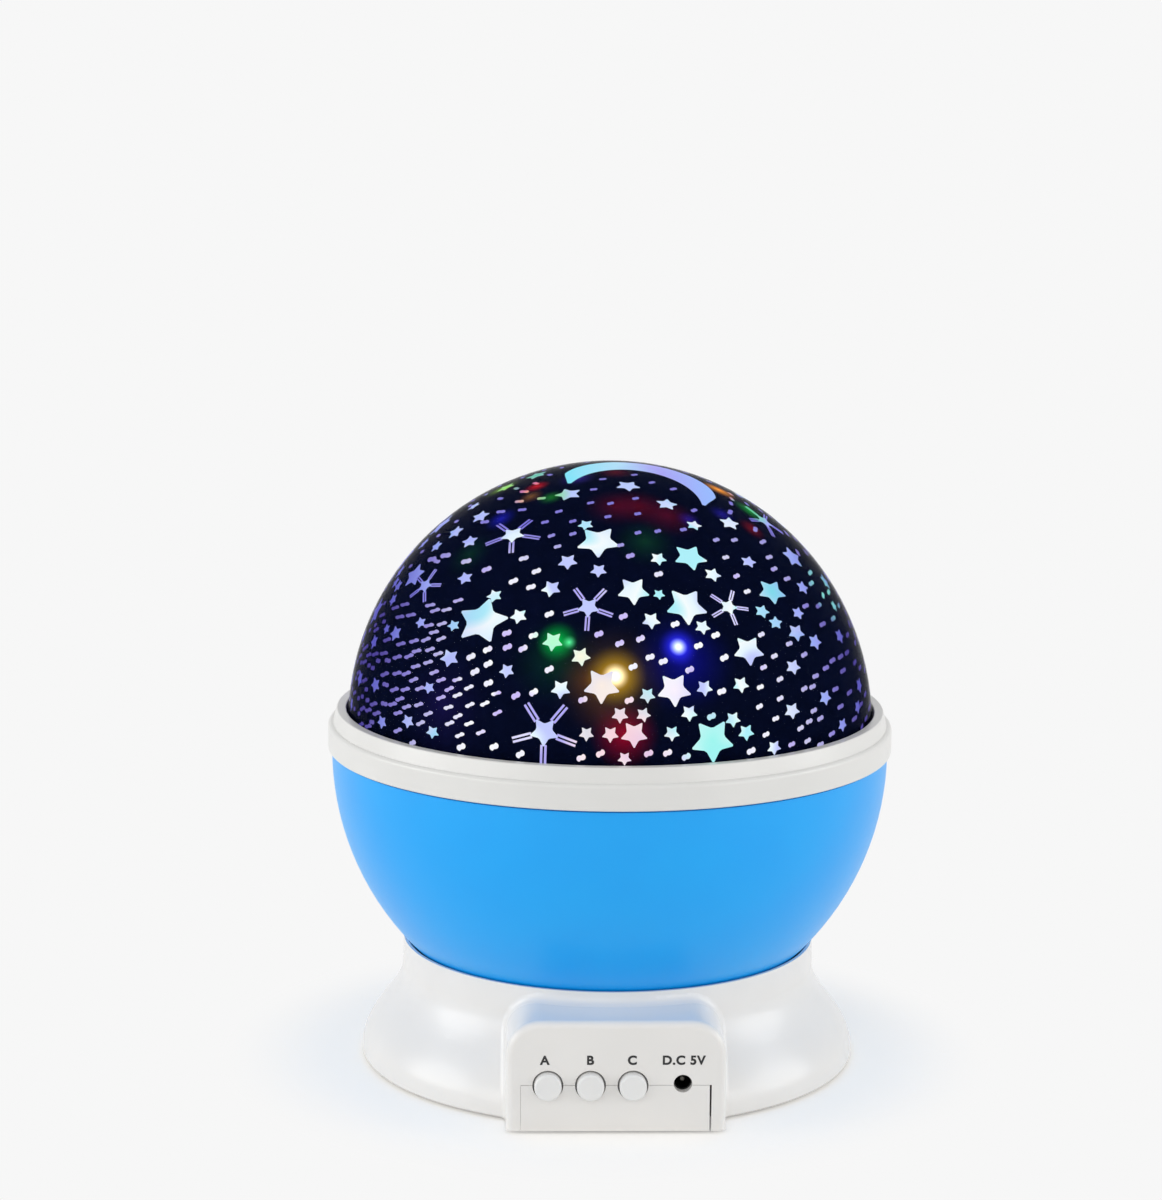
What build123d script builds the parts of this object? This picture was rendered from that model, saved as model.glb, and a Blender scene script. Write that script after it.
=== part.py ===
from build123d import *
import math
import os

os.makedirs("parts", exist_ok=True)

# Star projector with a turning bowl. Millimetres, +Z up. The origin lies on the table, under the
# axis that the bowl turns on. The control panel faces -Y. Upper case names are driving dimensions.

# ---- shared clearances and walls ----
RUN_GAP = 0.05            # radial running fit of shafts, hubs and plungers
BODY_GAP = 0.3            # between pieces that move past each other
SLIP_GAP = 0.1            # between pieces of one body that only locate each other
AXIAL_GAP = 0.12          # end float of the turntable
SCREW_GAP = 0.05          # radial, a screw's shank in its pilot hole
SCREW_PASS = 0.2          # radial, a screw's shank in the piece that it clamps
SCREW_END = 0.5           # between a screw's point and the end of its pilot hole
CUT = 1.0                 # how far a cutter runs past the faces that it cuts
TOUCH = 0.01              # places closer than this count as the same

# ---- bowl, ring and dome ----
BOWL_R = 63.8             # outside of the bowl's sphere
BOWL_WALL = 1.8
BOWL_SINK = 7.1           # underside of the bowl's flat floor below the top of the neck
FLOOR_T = 2.0
RIM_RISE = 1.0            # bowl's rim above the bowl's centre
RING_PROUD = 0.9          # ring's band outside the bowl
RING_H = 9.1              # ring from the bowl's rim to its top edge
BAND_H = 5.8              # lower band of the ring, up to the ledge
BAND_EDGE = 0.9           # rounding of the band's upper edge
BAND_FOOT = 0.4           # rounding of the band's lower edge
LEDGE_W = 1.2             # ledge between the band and the upper tier
TIER_DRAFT = 0.8          # upper tier's lean towards its top
TIER_EDGE = 0.35          # rounding of the tier's top edges
RIM_INSET = 3.6           # dome's outside inside the bowl's outside
DOME_RISE = 5.1           # dome's centre above the bowl's rim
DOME_WALL = 1.2
SEAT_RISE = 2.1           # shelf that the dome stands on, above the bowl's rim
SEAT_W = 2.4              # width of that shelf
SKIRT_H = 3.0             # ring's skirt inside the bowl
SKIRT_T = 1.4
SEAT_ROOF = 0.5           # plastic left over the dish screws' pilots
JOINT_H = 0.4             # dark joint line under the ring
JOINT_W = 0.9
LIP_W = 1.2               # dome's inner lip, which holds the mask
LIP_H = 0.8
MASK_T = 0.4
MASK_GAP = 0.05           # between the mask and the dome over it

# ---- star windows in the mask ----
SECTORS = 3               # the pattern repeats around the dome
STAR_POINTS = 5
STAR_WAIST = 0.46         # inner radius of a star over its outer radius
STAR_CUT = 2.0            # reach of a star's cutter to either side of the mask
CRESCENT_R = 17.9         # crescent's outer circle, seen from above
CRESCENT_AT = (6.2, -9.6)
HOLLOW_R = 15.4           # crescent's inner circle
HOLLOW_AT = (4.1, -18.7)
CRESCENT_END = -17.6      # crescent's right end is cut off square here
# azimuth from the front and height above the dome's centre in degrees, then the star's radius
WINDOWS = [
    (-35, 32, 3.0), (17, 37, 2.8), (20, 8, 3.2), (-8, 55, 3.0), (-15, 10, 2.9), (-8, 37, 2.4),
    (24, 49, 2.1), (31, 26, 2.2), (4, 41, 1.9), (13, 19, 2.2), (-41, 54, 2.4), (47, 38, 2.2),
    (-18, 41, 1.6), (-16, 29, 1.8), (-5, 20, 2.2), (48, 29, 1.6), (-41, 24, 1.7), (-57, 50, 1.8),
    (40, 12, 1.7), (-26, 22, 1.5),
]

# ---- base ----
FOOT_GAP = 0.6            # rubber feet stand this far out of the bottom
FOOT_R = 57.0             # outside of the flared foot
FOOT_RIM = 1.4            # upright edge of the foot
FOOT_EDGE = 0.7           # rounding under the foot
NECK_Z = 27.9             # top of the neck above the table
NECK_R = 47.4             # outside of the neck at its top
NECK_LIP = 0.7            # thickness of the neck's top edge
NECK_DRAFT = 0.2          # neck wider at its foot than at its top
NECK_H = 5.9              # upright part of the neck
FLARE_LOW = 7.5           # pull of the flare's curve at the foot
FLARE_HIGH = 8.0          # pull of the flare's curve at the neck
BASE_WALL = 2.0

# ---- control panel ----
PANEL_W = 47.7
PANEL_OUT = 2.9           # face of the panel in front of the foot
PANEL_H = 24.5            # panel's top above its bottom
PANEL_CORNER = 7.5
PANEL_EDGE = 1.6          # rounding around the face
PANEL_FILLET = 2.0        # hollow rounding where the panel's box leaves the flare
PANEL_DEPTH = 30.0        # how far the panel's box runs into the base
SEAM_Z = 10.4             # seam above the panel's bottom
SEAM_GAP = 0.1
TONGUE_IN = 3.2           # tongue's edges inside the panel's sides
SLIT_W = 0.4              # slit right of the tongue
BUTTON_Z = 10.3           # above the panel's bottom
BUTTON_PITCH = 9.2
BUTTON_MID = -5.6         # middle button from the panel's middle
BUTTON_R = 2.95
BUTTON_GAP = 0.4
BUTTON_OUT = 2.0          # button in front of the panel
BUTTON_EDGE = 0.5
BUTTON_TRAVEL = 1.2
FLANGE_W = 1.05           # button's flange behind the panel
FLANGE_T = 1.0
STEM_R = 1.55             # button's stem
STEM_L = 2.4
JACK_X = 14.4
JACK_Z = 10.7             # above the panel's bottom
JACK_HOLE_R = 2.0
JACK_BORE_R = 1.8
JACK_W = 6.6
JACK_L = 11.0
JACK_DEPTH = 9.0
JACK_PIN_R = 0.65
JACK_PIN_EDGE = 0.4       # rounding of the pin's tip
JACK_PIN_SET = 1.0        # pin's tip behind the jack's front
JACK_TAIL = 0.8
JACK_SPRING_W = 1.6
JACK_SPRING_T = 0.3
JACK_SPRING_SET = 2.0     # side contact behind the jack's front

# ---- control board and switches ----
BOARD_TOP = 4.3           # board's top below the jack's axis
BOARD_T = 1.6
BOARD_W = 39.0
BOARD_L = 13.6
BOARD_SCREW_X = 8.2
SWITCH_W = 6.0
SWITCH_L = 4.0
SWITCH_BACK = 0.5         # wall behind the plunger's bore
SWITCH_TOP = 3.3          # switch above the plunger's axis
PLUNGER_R = 1.75
PLUNGER_L = 3.0
PLUNGER_OUT = 0.8
CHIP_L = 5.0
CHIP_W = 4.0
CHIP_H = 1.4
CHIP_EDGE = 0.2
CHIP_BACK = 2.6           # chip in front of the board's rear edge

# ---- bottom plate, battery well and door ----
PLATE_T = 2.6
PLATE_GAP = 0.2
CELL_R = 5.25             # AAA cell
CELL_L = 43.5
CELL_EDGE = 0.5
NUB_R = 1.9
NUB_L = 1.0
CELL_COUNT = 4
CELL_GAP = 0.2
CONTACT_T = 0.4
CONTACT_W = 7.0
CONTACT_H = 8.4
LEAF_L = 3.2              # spring leaf in front of its plate
LEAF_T = 0.5              # spring leaf at its free end
LEAF_ROOT = 0.75          # spring leaf at its bends
LEAF_W = 4.2
LEAF_END = 0.4            # leaf's ends from the contact's edges
LEAF_SINK = 0.3           # leaf's free end in front of its plate
BRIDGE_H = 2.0            # strip that joins two contacts
PAD_R = 2.4
WELL_WALL = 1.3
DOOR_T = 1.6
DOOR_LEDGE = 1.2
LATCH_W = 12.0
LATCH_L = 2.6
GRIP_R = 0.96             # finger groove across the latch
GRIP_W = 9.0
GRIP_IN = 5.0             # groove in front of the latch's end
PAD_FOOT_R = 4.5
PAD_FOOT_T = 1.4
PAD_FOOT_IN = 9.0         # rubber feet's middles inside the base's wall
PAD_FOOT_TURN = 30.0      # degrees from +X
TAIL_W = 2.0

# ---- case screws and bosses ----
CASE_SCREWS = 4
CASE_IN = 3.3             # case screws inside the middle of the flare
CASE_TURN = 45.0          # degrees from +X
CASE_BOSS_R = 3.0
CASE_BOSS_H = 13.0
CASE_SHANK_R = 1.25
CASE_HEAD_R = 2.4
CASE_HEAD_H = 1.4
CASE_SCREW_L = 7.5
SMALL_SHANK_R = 0.95
SMALL_HEAD_R = 1.9
SMALL_HEAD_H = 1.1
SMALL_POST_R = 2.6
FINE_SHANK_R = 0.75
FINE_HEAD_R = 1.4
FINE_HEAD_H = 0.9
FINE_BITE = 5.0           # how deep the lamp stem's screws go into the pivot
HEAD_ROUND = 0.33         # a screw head's rounding over its height
POINT_ROUND = 0.33        # a screw point's chamfer over its radius
RECESS_W = 0.2            # cross recess, width over the head's radius
RECESS_ARM = 0.6          # cross recess, arm over the head's radius
RECESS_DEPTH = 0.5        # cross recess, depth over the head's height

# ---- deck, pivot and drive ----
DECK_T = 1.8
DECK_RIM = 5.4            # deck's edge inside the neck's wall
DECK_POST_TURN = 39.6     # degrees from the X axis
PIVOT_R = 8.0
PIVOT_BORE_R = 4.7
WASHER_T = 0.8
WASHER_W = 3.4
GEAR_MODULE = 0.8
WHEEL_TEETH = 58
PINION_TEETH = 12
PRESSURE_DEG = 20.0
WHEEL_ADDENDUM = 0.62     # in modules, short so that the small pinion isn't undercut
PINION_ADDENDUM = 1.0
ROOT_GAP = 0.35
BACKLASH = 0.16
GEAR_T = 2.6
GEAR_FLOOR = 0.4          # plastic left under the hub screws' pilots
PINION_OVER = 0.5         # pinion stands above the wheel's teeth
HUB_WALL = 3.0
HUB_FLANGE_R = 19.5
HUB_RISE = 3.0            # hub above the bowl's floor
HUB_SCREWS = 3
HUB_TURN = 30.0           # degrees from +X
SHAFT_R = 1.0
SHAFT_IN = 1.0            # shaft's lower end above the gearbox's underside
MOTOR_R = 10.0
CAN_IN = 0.4              # motor can's radius inside the gearbox's
CAN_EDGE = 0.8
GEARBOX_H = 5.0
MOTOR_UNDER = 0.4         # gap between the motor can and the bottom plate
EAR_REACH = 3.2
EAR_W = 5.2
EAR_T = 1.6
MOTOR_BOSS_R = 3.4

# ---- lamp ----
LAMP_STEM_R = 4.6
LAMP_STEM_WALL = 1.2
STEM_FLANGE_R = 10.2
STEM_FLANGE_T = 1.6
STEM_HEAD_R = 8.0
STEM_HEAD_T = 3.2
STEM_CONE_H = 3.4
STEM_FLOOR = 0.3          # plastic left under the lamp board screws' pilots
LAMP_RISE = 4.4           # underside of the lamp board above the dome's centre
LAMP_BOARD_R = 18.0
LAMP_BOARD_T = 1.6
LED_AT = 12.0
LED_TURN = 270.0          # degrees from +X
LED_R = 2.5
LED_FLANGE_R = 2.9
LED_FLANGE_T = 1.0
LED_BODY_H = 4.5          # straight part of a lamp's lens, flange included
DISH_T = 1.2
DISH_DROP = 5.0           # middle of the dish below its rim
DISH_FLAT = 3.0           # flat ring around the dish's hole
DISH_RIM_W = 3.6
DISH_SCREWS = 3
DISH_TURN = 90.0          # degrees from +X
LEAD_R = 0.45
LEAD_STEP = 0.8           # half the distance between two leads
LEAD_BEND = 2.5
LEAD_SIDE = 5.0           # motor leads leave the control board this far from its rear edge

# ---- places worked out from the driving dimensions ----
base_z = FOOT_GAP
plate_top = base_z + PLATE_T
scoop_r = BOWL_R + BODY_GAP + RUN_GAP
bowl_z = NECK_Z + math.sqrt(scoop_r**2 - (NECK_R - NECK_LIP)**2)
floor_z = NECK_Z - BOWL_SINK
rim_z = bowl_z + RIM_RISE
dome_r = BOWL_R - RIM_INSET
dome_z = rim_z + DOME_RISE
seat_z = rim_z + SEAT_RISE
ring_in_r = dome_r + BODY_GAP
ring_out_r = BOWL_R + RING_PROUD
ring_top = rim_z + RING_H
neck_low_r = NECK_R + NECK_DRAFT
neck_low_z = NECK_Z - NECK_H
foot_top_z = base_z + FOOT_RIM
case_at = (FOOT_R + neck_low_r) / 2 - CASE_IN
case_head_z = base_z + CASE_HEAD_H + SCREW_PASS

button_z = base_z + BUTTON_Z
button_xs = [BUTTON_MID + k * BUTTON_PITCH for k in (-1, 0, 1)]
jack_z = base_z + JACK_Z
board_z = jack_z - BOARD_TOP
panel_y = FOOT_R + PANEL_OUT
panel_in_y = panel_y - BASE_WALL
tongue_left = -PANEL_W / 2 + TONGUE_IN
tongue_right = PANEL_W / 2 - TONGUE_IN - SLIT_W
seam_z = base_z + SEAM_Z
flange_y = panel_in_y - BODY_GAP
stem_y = flange_y - FLANGE_T
plunger_y = stem_y - STEM_L
switch_y = plunger_y - PLUNGER_OUT
board_front = flange_y - FLANGE_T - BUTTON_TRAVEL - BODY_GAP - SWITCH_BACK
board_back = board_front - BOARD_L

door_top = base_z + DOOR_T
cell_z = door_top + BODY_GAP + CELL_R
cell_pitch = 2 * CELL_R + CELL_GAP
cell_xs = [(k - (CELL_COUNT - 1) / 2) * cell_pitch for k in range(CELL_COUNT)]
well_x = CELL_COUNT * cell_pitch / 2
gear_mid = GEAR_MODULE * (WHEEL_TEETH + PINION_TEETH) / 2
well_l = 2 * CONTACT_T + LEAF_L + CELL_L + 2 * NUB_L + 2 * CELL_GAP
well_front = (board_back - gear_mid + MOTOR_R + well_l) / 2     # midway between board and motor
well_back = well_l - well_front
well_z = cell_z + CELL_R + CELL_GAP
deck_z = well_z + WELL_WALL
deck_top = deck_z + DECK_T
deck_r = neck_low_r - DECK_RIM - BASE_WALL
wheel_z = deck_top + WASHER_T + AXIAL_GAP
wheel_top = wheel_z + GEAR_T
pinion_z = wheel_z - BODY_GAP
pinion_top = wheel_top + PINION_OVER
hub_bore_r = PIVOT_R + RUN_GAP
hub_r = hub_bore_r + HUB_WALL
hub_top = floor_z + FLOOR_T + HUB_RISE
pivot_top = hub_top + AXIAL_GAP
board_rest_z = dome_z + LAMP_RISE
dish_z = rim_z - BODY_GAP
dish_r = BOWL_R - BOWL_WALL - SLIP_GAP - SKIRT_T - SLIP_GAP
mask_out_r = dome_r - DOME_WALL - MASK_GAP
stem_bore_r = LAMP_STEM_R - LAMP_STEM_WALL


# ---- helpers ----
def cyl(r, z0, z1, x=0.0, y=0.0):
    """An upright cylinder from z0 to z1."""
    return Pos(x, y, z0) * Cylinder(r, z1 - z0, align=(Align.CENTER, Align.CENTER, Align.MIN))


def tube(r_out, r_in, z0, z1, x=0.0, y=0.0):
    """An upright tube, cut right through."""
    return cyl(r_out, z0, z1, x, y) - cyl(r_in, z0 - CUT, z1 + CUT, x, y)


def cyl_y(r, y0, y1, x, z):
    """A cylinder along Y from y0 to y1."""
    rod = Cylinder(r, y1 - y0, align=(Align.CENTER, Align.CENTER, Align.MIN))
    return Pos(x, y0, z) * Rot(-90, 0, 0) * rod


def block(x0, x1, y0, y1, z0, z1):
    """A box between two corners."""
    return Pos(x0, y0, z0) * Box(x1 - x0, y1 - y0, z1 - z0, align=(Align.MIN, Align.MIN, Align.MIN))


def turned(edges):
    """A solid turned about Z from edges in the XZ plane."""
    return revolve(make_face(Wire(edges)), Axis.Z)


def polyline_edges(points):
    """Straight edges through points (r, z)."""
    return [Line((a[0], 0, a[1]), (b[0], 0, b[1])) for a, b in zip(points, points[1:])]


def sphere_edge(radius, mid_z, z0, z1):
    """An arc of a sphere's outline from z0 to z1."""
    def point(z):
        return (math.sqrt(radius**2 - (z - mid_z) ** 2), 0, z)
    return ThreePointArc(point(z0), point((z0 + z1) / 2), point(z1))


def sphere_r(radius, mid_z, z):
    """Radius of a sphere's outline at a height."""
    return math.sqrt(radius**2 - (z - mid_z) ** 2)


def around(count, radius, first_deg):
    """Points (x, y) evenly spaced on a circle."""
    steps = [math.radians(first_deg + 360 * k / count) for k in range(count)]
    return [(radius * math.cos(a), radius * math.sin(a)) for a in steps]


def four_ways(radius, deg):
    """Four points, one in each quarter, each turned by deg from the X axis."""
    (x, y), = around(1, radius, deg)
    return [(sx * x, sy * y) for sx in (-1, 1) for sy in (-1, 1)]


def screw(x, y, z, shank_r, head_r, head_h, length, up=False):
    """A pan-head screw with a cross recess. z is the face that its head bears on."""
    head = cyl(head_r, 0, head_h)
    head = fillet(head.edges().group_by(Axis.Z)[-1], head_h * HEAD_ROUND)
    shank = cyl(shank_r, -length, 0)
    shank = chamfer(shank.edges().group_by(Axis.Z)[0], shank_r * POINT_ROUND)
    slot, arm, floor = head_r * RECESS_W / 2, head_r * RECESS_ARM, head_h * (1 - RECESS_DEPTH)
    cross = block(-arm, arm, -slot, slot, floor, head_h + CUT)
    cross += block(-slot, slot, -arm, arm, floor, head_h + CUT)
    body = head + shank - cross
    return Pos(x, y, z) * (Rot(180, 0, 0) * body if up else body)


def gear(teeth, addendum, root_r, bore_r, thickness, first_deg):
    """A spur gear in the XY plane. A tooth stands at first_deg."""
    pitch_r = GEAR_MODULE * teeth / 2
    base_r = pitch_r * math.cos(math.radians(PRESSURE_DEG))
    tip_r = pitch_r + addendum * GEAR_MODULE
    flank_r = max(base_r, root_r + RUN_GAP)

    def roll(r):
        a = math.acos(min(1.0, base_r / r))
        return math.tan(a) - a

    def half_angle(r):
        half = (math.pi * GEAR_MODULE - BACKLASH) / 4 / pitch_r
        return half + roll(pitch_r) - roll(r)

    def point(r, angle):
        return (r * math.cos(angle), r * math.sin(angle), 0)

    step = 2 * math.pi / teeth
    mid_r = (flank_r + tip_r) / 2
    edges = []
    for k in range(teeth):
        a = math.radians(first_deg) + k * step
        low, mid, high = half_angle(flank_r), half_angle(mid_r), half_angle(tip_r)
        edges.append(Line(point(root_r, a - low), point(flank_r, a - low)))
        edges.append(ThreePointArc(point(flank_r, a - low), point(mid_r, a - mid), point(tip_r, a - high)))
        edges.append(ThreePointArc(point(tip_r, a - high), point(tip_r, a), point(tip_r, a + high)))
        edges.append(ThreePointArc(point(tip_r, a + high), point(mid_r, a + mid), point(flank_r, a + low)))
        edges.append(Line(point(flank_r, a + low), point(root_r, a + low)))
        edges.append(Line(point(root_r, a + low), point(root_r, a + step - low)))
    return extrude(make_face(Wire(edges)), thickness, dir=(0, 0, 1)) - cyl(bore_r, -CUT, thickness + CUT)


def lead(points):
    """A round lead along straight runs with tangent bends, as one solid."""
    path = FilletPolyline(*points, radius=LEAD_BEND)
    return sweep(Plane(origin=path @ 0, z_dir=path % 0) * Circle(LEAD_R), path=path)


def save(node, shape):
    """Writes one node."""
    export_step(shape, f"parts/{node}.step")


# ---- rows of posts, feet and screws ----
deck_posts = four_ways(deck_r - SMALL_POST_R, DECK_POST_TURN)
feet = four_ways(FOOT_R - BASE_WALL - PAD_FOOT_IN, PAD_FOOT_TURN)
case_screws = around(CASE_SCREWS, case_at, CASE_TURN)
board_posts = [(sx * BOARD_SCREW_X, -board_back - SMALL_POST_R - SLIP_GAP) for sx in (-1, 1)]
motor_screws = [(sx * (MOTOR_R + EAR_REACH), gear_mid) for sx in (-1, 1)]
stem_screws = [(sx * (PIVOT_R + PIVOT_BORE_R) / 2, 0.0) for sx in (-1, 1)]
hub_screws = around(HUB_SCREWS, (hub_r + HUB_FLANGE_R) / 2, HUB_TURN)
dish_screws = around(DISH_SCREWS, dish_r - DISH_RIM_W / 2, DISH_TURN)
lamp_screws = [(sx * (stem_bore_r + STEM_HEAD_R) / 2, 0.0) for sx in (-1, 1)]


# ---- base housing ----
def base_outline(inset, over=0.0):
    """Outside of the base turned about Z, moved inwards by a wall and run past both ends by over."""
    foot, neck_low, neck_top = FOOT_R - inset, neck_low_r - inset, NECK_R - inset
    low, high = base_z - over, NECK_Z + over
    flare = Bezier(
        (foot, 0, foot_top_z), (foot, 0, foot_top_z + FLARE_LOW),
        (neck_low, 0, neck_low_z - FLARE_HIGH), (neck_low, 0, neck_low_z),
    )
    below = polyline_edges([(0, low), (foot, low), (foot, foot_top_z)])
    above = polyline_edges([(neck_low, neck_low_z), (neck_top, high), (0, high), (0, low)])
    return turned(below + [flare] + above)


def panel_box(inset, low, back):
    """Box behind the control panel, with rounded upper corners."""
    half, top = PANEL_W / 2 - inset, base_z + PANEL_H - inset
    box = block(-half, half, -panel_y + inset, -back, low, top)
    corners = box.edges().filter_by(Axis.Y).group_by(Axis.Z)[-1]
    return fillet(corners, PANEL_CORNER - inset)


def panel_holes(front, back):
    """Round holes for the buttons and the jack, along Y."""
    holes = [cyl_y(BUTTON_R + BUTTON_GAP, front, back, x, button_z) for x in button_xs]
    return holes + [cyl_y(JACK_HOLE_R, front, back, JACK_X, jack_z)]


def make_base_shell():
    outer = base_outline(0.0)
    foot_edge = outer.edges().filter_by(GeomType.CIRCLE).group_by(Axis.Z)[0]
    outer = fillet(foot_edge, FOOT_EDGE)
    panel = panel_box(0.0, base_z, PANEL_DEPTH)
    face = panel.faces().sort_by(Axis.Y)[0]
    rim = [e for e in face.edges() if e.center().Z > base_z + FOOT_EDGE]
    panel = fillet(rim, PANEL_EDGE)
    whole = outer + panel
    corner = [e for e in new_edges(outer, panel, combined=whole) if e.center().Z > base_z + TOUCH]
    whole = fillet(corner, PANEL_FILLET)
    shell = whole - base_outline(BASE_WALL, CUT) - panel_box(BASE_WALL, base_z - CUT, PANEL_DEPTH - CUT)
    for x, y in case_screws:
        shell += cyl(CASE_BOSS_R, plate_top, base_z + CASE_BOSS_H, x, y) & outer
        shell -= cyl(CASE_SHANK_R + SCREW_GAP, plate_top - CUT, case_head_z + CASE_SCREW_L + SCREW_END, x, y)
    shell -= Pos(0, 0, bowl_z) * Sphere(scoop_r)
    front, back = -panel_y - CUT, -panel_in_y + CUT
    shell -= block(tongue_left - SLIP_GAP / 2, tongue_right + SLIT_W, front, back, base_z - CUT, seam_z)
    for hole in panel_holes(front, back):
        shell -= hole
    save("base_shell", shell)


def contact_place(end, x):
    """Sets a contact, drawn on the well's front wall facing +Y, at either end of the well."""
    return Pos(x, -well_front, cell_z) if end < 0 else Pos(x, well_back, cell_z) * Rot(0, 0, 180)


def make_bottom_plate():
    plate = cyl(FOOT_R - BASE_WALL - PLATE_GAP, base_z, plate_top)
    plate += block(tongue_left, tongue_right, -panel_y, -board_back, base_z, plate_top)
    tongue = block(tongue_left, tongue_right, -panel_y, -panel_in_y, base_z, seam_z - SEAM_GAP)
    for hole in panel_holes(-panel_y - CUT, -panel_in_y + CUT):
        tongue -= hole
    plate += tongue
    out = WELL_WALL
    plate += block(-well_x - out, well_x + out, -well_front - out, well_back + out, base_z, deck_z)
    plate -= block(-well_x, well_x, -well_front, well_back, base_z - CUT, well_z)
    ledge = DOOR_LEDGE + BODY_GAP
    low, seat = base_z - CUT, door_top + SLIP_GAP
    plate -= block(-well_x - ledge, well_x + ledge, -well_front - ledge, well_back + ledge, low, seat)
    latch = LATCH_W / 2 + BODY_GAP
    plate -= block(-latch, latch, 0, well_back + ledge + LATCH_L, low, seat)
    for x in (cell_xs[0], cell_xs[-1]):
        slot = TAIL_W / 2 + SLIP_GAP
        z0, z1 = board_z - BOARD_T, board_z
        plate -= block(x - slot, x + slot, -well_front - 2 * out, -well_front, z0 - SLIP_GAP, z1)
    for x, y in deck_posts:
        plate += cyl(SMALL_POST_R, plate_top - CUT, deck_z, x, y)
        plate -= cyl(CASE_SHANK_R + SCREW_GAP, deck_top - CASE_SCREW_L - SCREW_END, deck_z + CUT, x, y)
    for x, y in board_posts:
        plate += cyl(SMALL_POST_R, plate_top - CUT, board_z - BOARD_T, x, y)
        plate -= cyl(SMALL_SHANK_R + SCREW_GAP, plate_top, board_z, x, y)
    for x, y in case_screws:
        plate -= cyl(CASE_SHANK_R + SCREW_PASS, base_z - CUT, plate_top + CUT, x, y)
        plate -= cyl(CASE_HEAD_R + SCREW_PASS, base_z - CUT, case_head_z, x, y)
    for x, y in feet:
        plate -= cyl(PAD_FOOT_R + SLIP_GAP, base_z - CUT, PAD_FOOT_T, x, y)
    save("bottom_plate", plate)


def make_case_fasteners():
    save("case_screws", Compound([
        screw(x, y, case_head_z, CASE_SHANK_R, CASE_HEAD_R, CASE_HEAD_H, CASE_SCREW_L, up=True)
        for x, y in case_screws
    ]))
    pads = [cyl(PAD_FOOT_R, 0, PAD_FOOT_T, x, y) for x, y in feet]
    save("rubber_feet", Compound([chamfer(p.edges().group_by(Axis.Z)[0], FOOT_GAP / 2) for p in pads]))


def make_battery_parts():
    reach = DOOR_LEDGE
    door = block(-well_x - reach, well_x + reach, -well_front - reach, well_back + reach, base_z, door_top)
    door += block(-LATCH_W / 2, LATCH_W / 2, 0, well_back + reach + LATCH_L, base_z, door_top)
    grip_y = well_back + reach + LATCH_L - GRIP_IN
    door -= Pos(0, grip_y, base_z) * Rot(0, 90, 0) * Cylinder(GRIP_R, GRIP_W)
    save("battery_door", door)

    cells = []
    mid_y = (well_back - well_front) / 2
    shift = (LEAF_L - 2 * NUB_L) / 2
    can = cyl_y(CELL_R, -CELL_L / 2, CELL_L / 2, 0, 0)
    can = fillet(can.edges().filter_by(GeomType.CIRCLE), CELL_EDGE)
    cell = can + cyl_y(NUB_R, 0, CELL_L / 2 + NUB_L, 0, 0)
    for k, x in enumerate(cell_xs):
        way = 1 if k % 2 == 0 else -1
        cells.append(Pos(x, mid_y + way * shift, cell_z) * (cell if way > 0 else Rot(0, 0, 180) * cell))
    save("battery_cells", Compound(cells))

    half_w, half_h = CONTACT_W / 2, CONTACT_H / 2
    plate = block(-half_w, half_w, 0, CONTACT_T, -half_h, half_h)
    peak, free = CONTACT_T + LEAF_L - SLIP_GAP, CONTACT_T + LEAF_SINK
    leaf_low, leaf_high = -half_h + LEAF_END, half_h - LEAF_END
    leaf_points = [
        (0, CONTACT_T, leaf_low), (0, peak, 0), (0, free + LEAF_T, leaf_high),
        (0, free, leaf_high), (0, peak - LEAF_ROOT, 0), (0, CONTACT_T, leaf_low + LEAF_ROOT),
    ]
    leaf = extrude(make_face(Polyline(*leaf_points, close=True)), LEAF_W / 2, dir=(1, 0, 0), both=True)
    minus = plate + leaf
    plus = plate + cyl_y(PAD_R, 0, CONTACT_T + NUB_L - SLIP_GAP, 0, 0)
    tail_y = well_front - board_back
    tail_z = board_z - BOARD_T / 2 - cell_z
    tail = block(-TAIL_W / 2, TAIL_W / 2, tail_y, CONTACT_T, tail_z - CONTACT_T / 2, tail_z + CONTACT_T / 2)
    save("battery_contact_minus", contact_place(-1, cell_xs[0]) * (minus + tail))
    save("battery_contact_plus", contact_place(-1, cell_xs[-1]) * (plus + tail))
    bridge = block(-half_w, half_w + cell_pitch, 0, CONTACT_T, -half_h, -half_h + BRIDGE_H)
    link = minus + Pos(cell_pitch, 0, 0) * plus + bridge
    front_link = Pos(cell_xs[2], -well_front, cell_z) * mirror(link, Plane.YZ)
    save("battery_link_front", front_link)
    rear_links = [contact_place(1, x) * link for x in (cell_xs[1], cell_xs[3])]
    save("battery_links_rear", Compound(rear_links))


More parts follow.
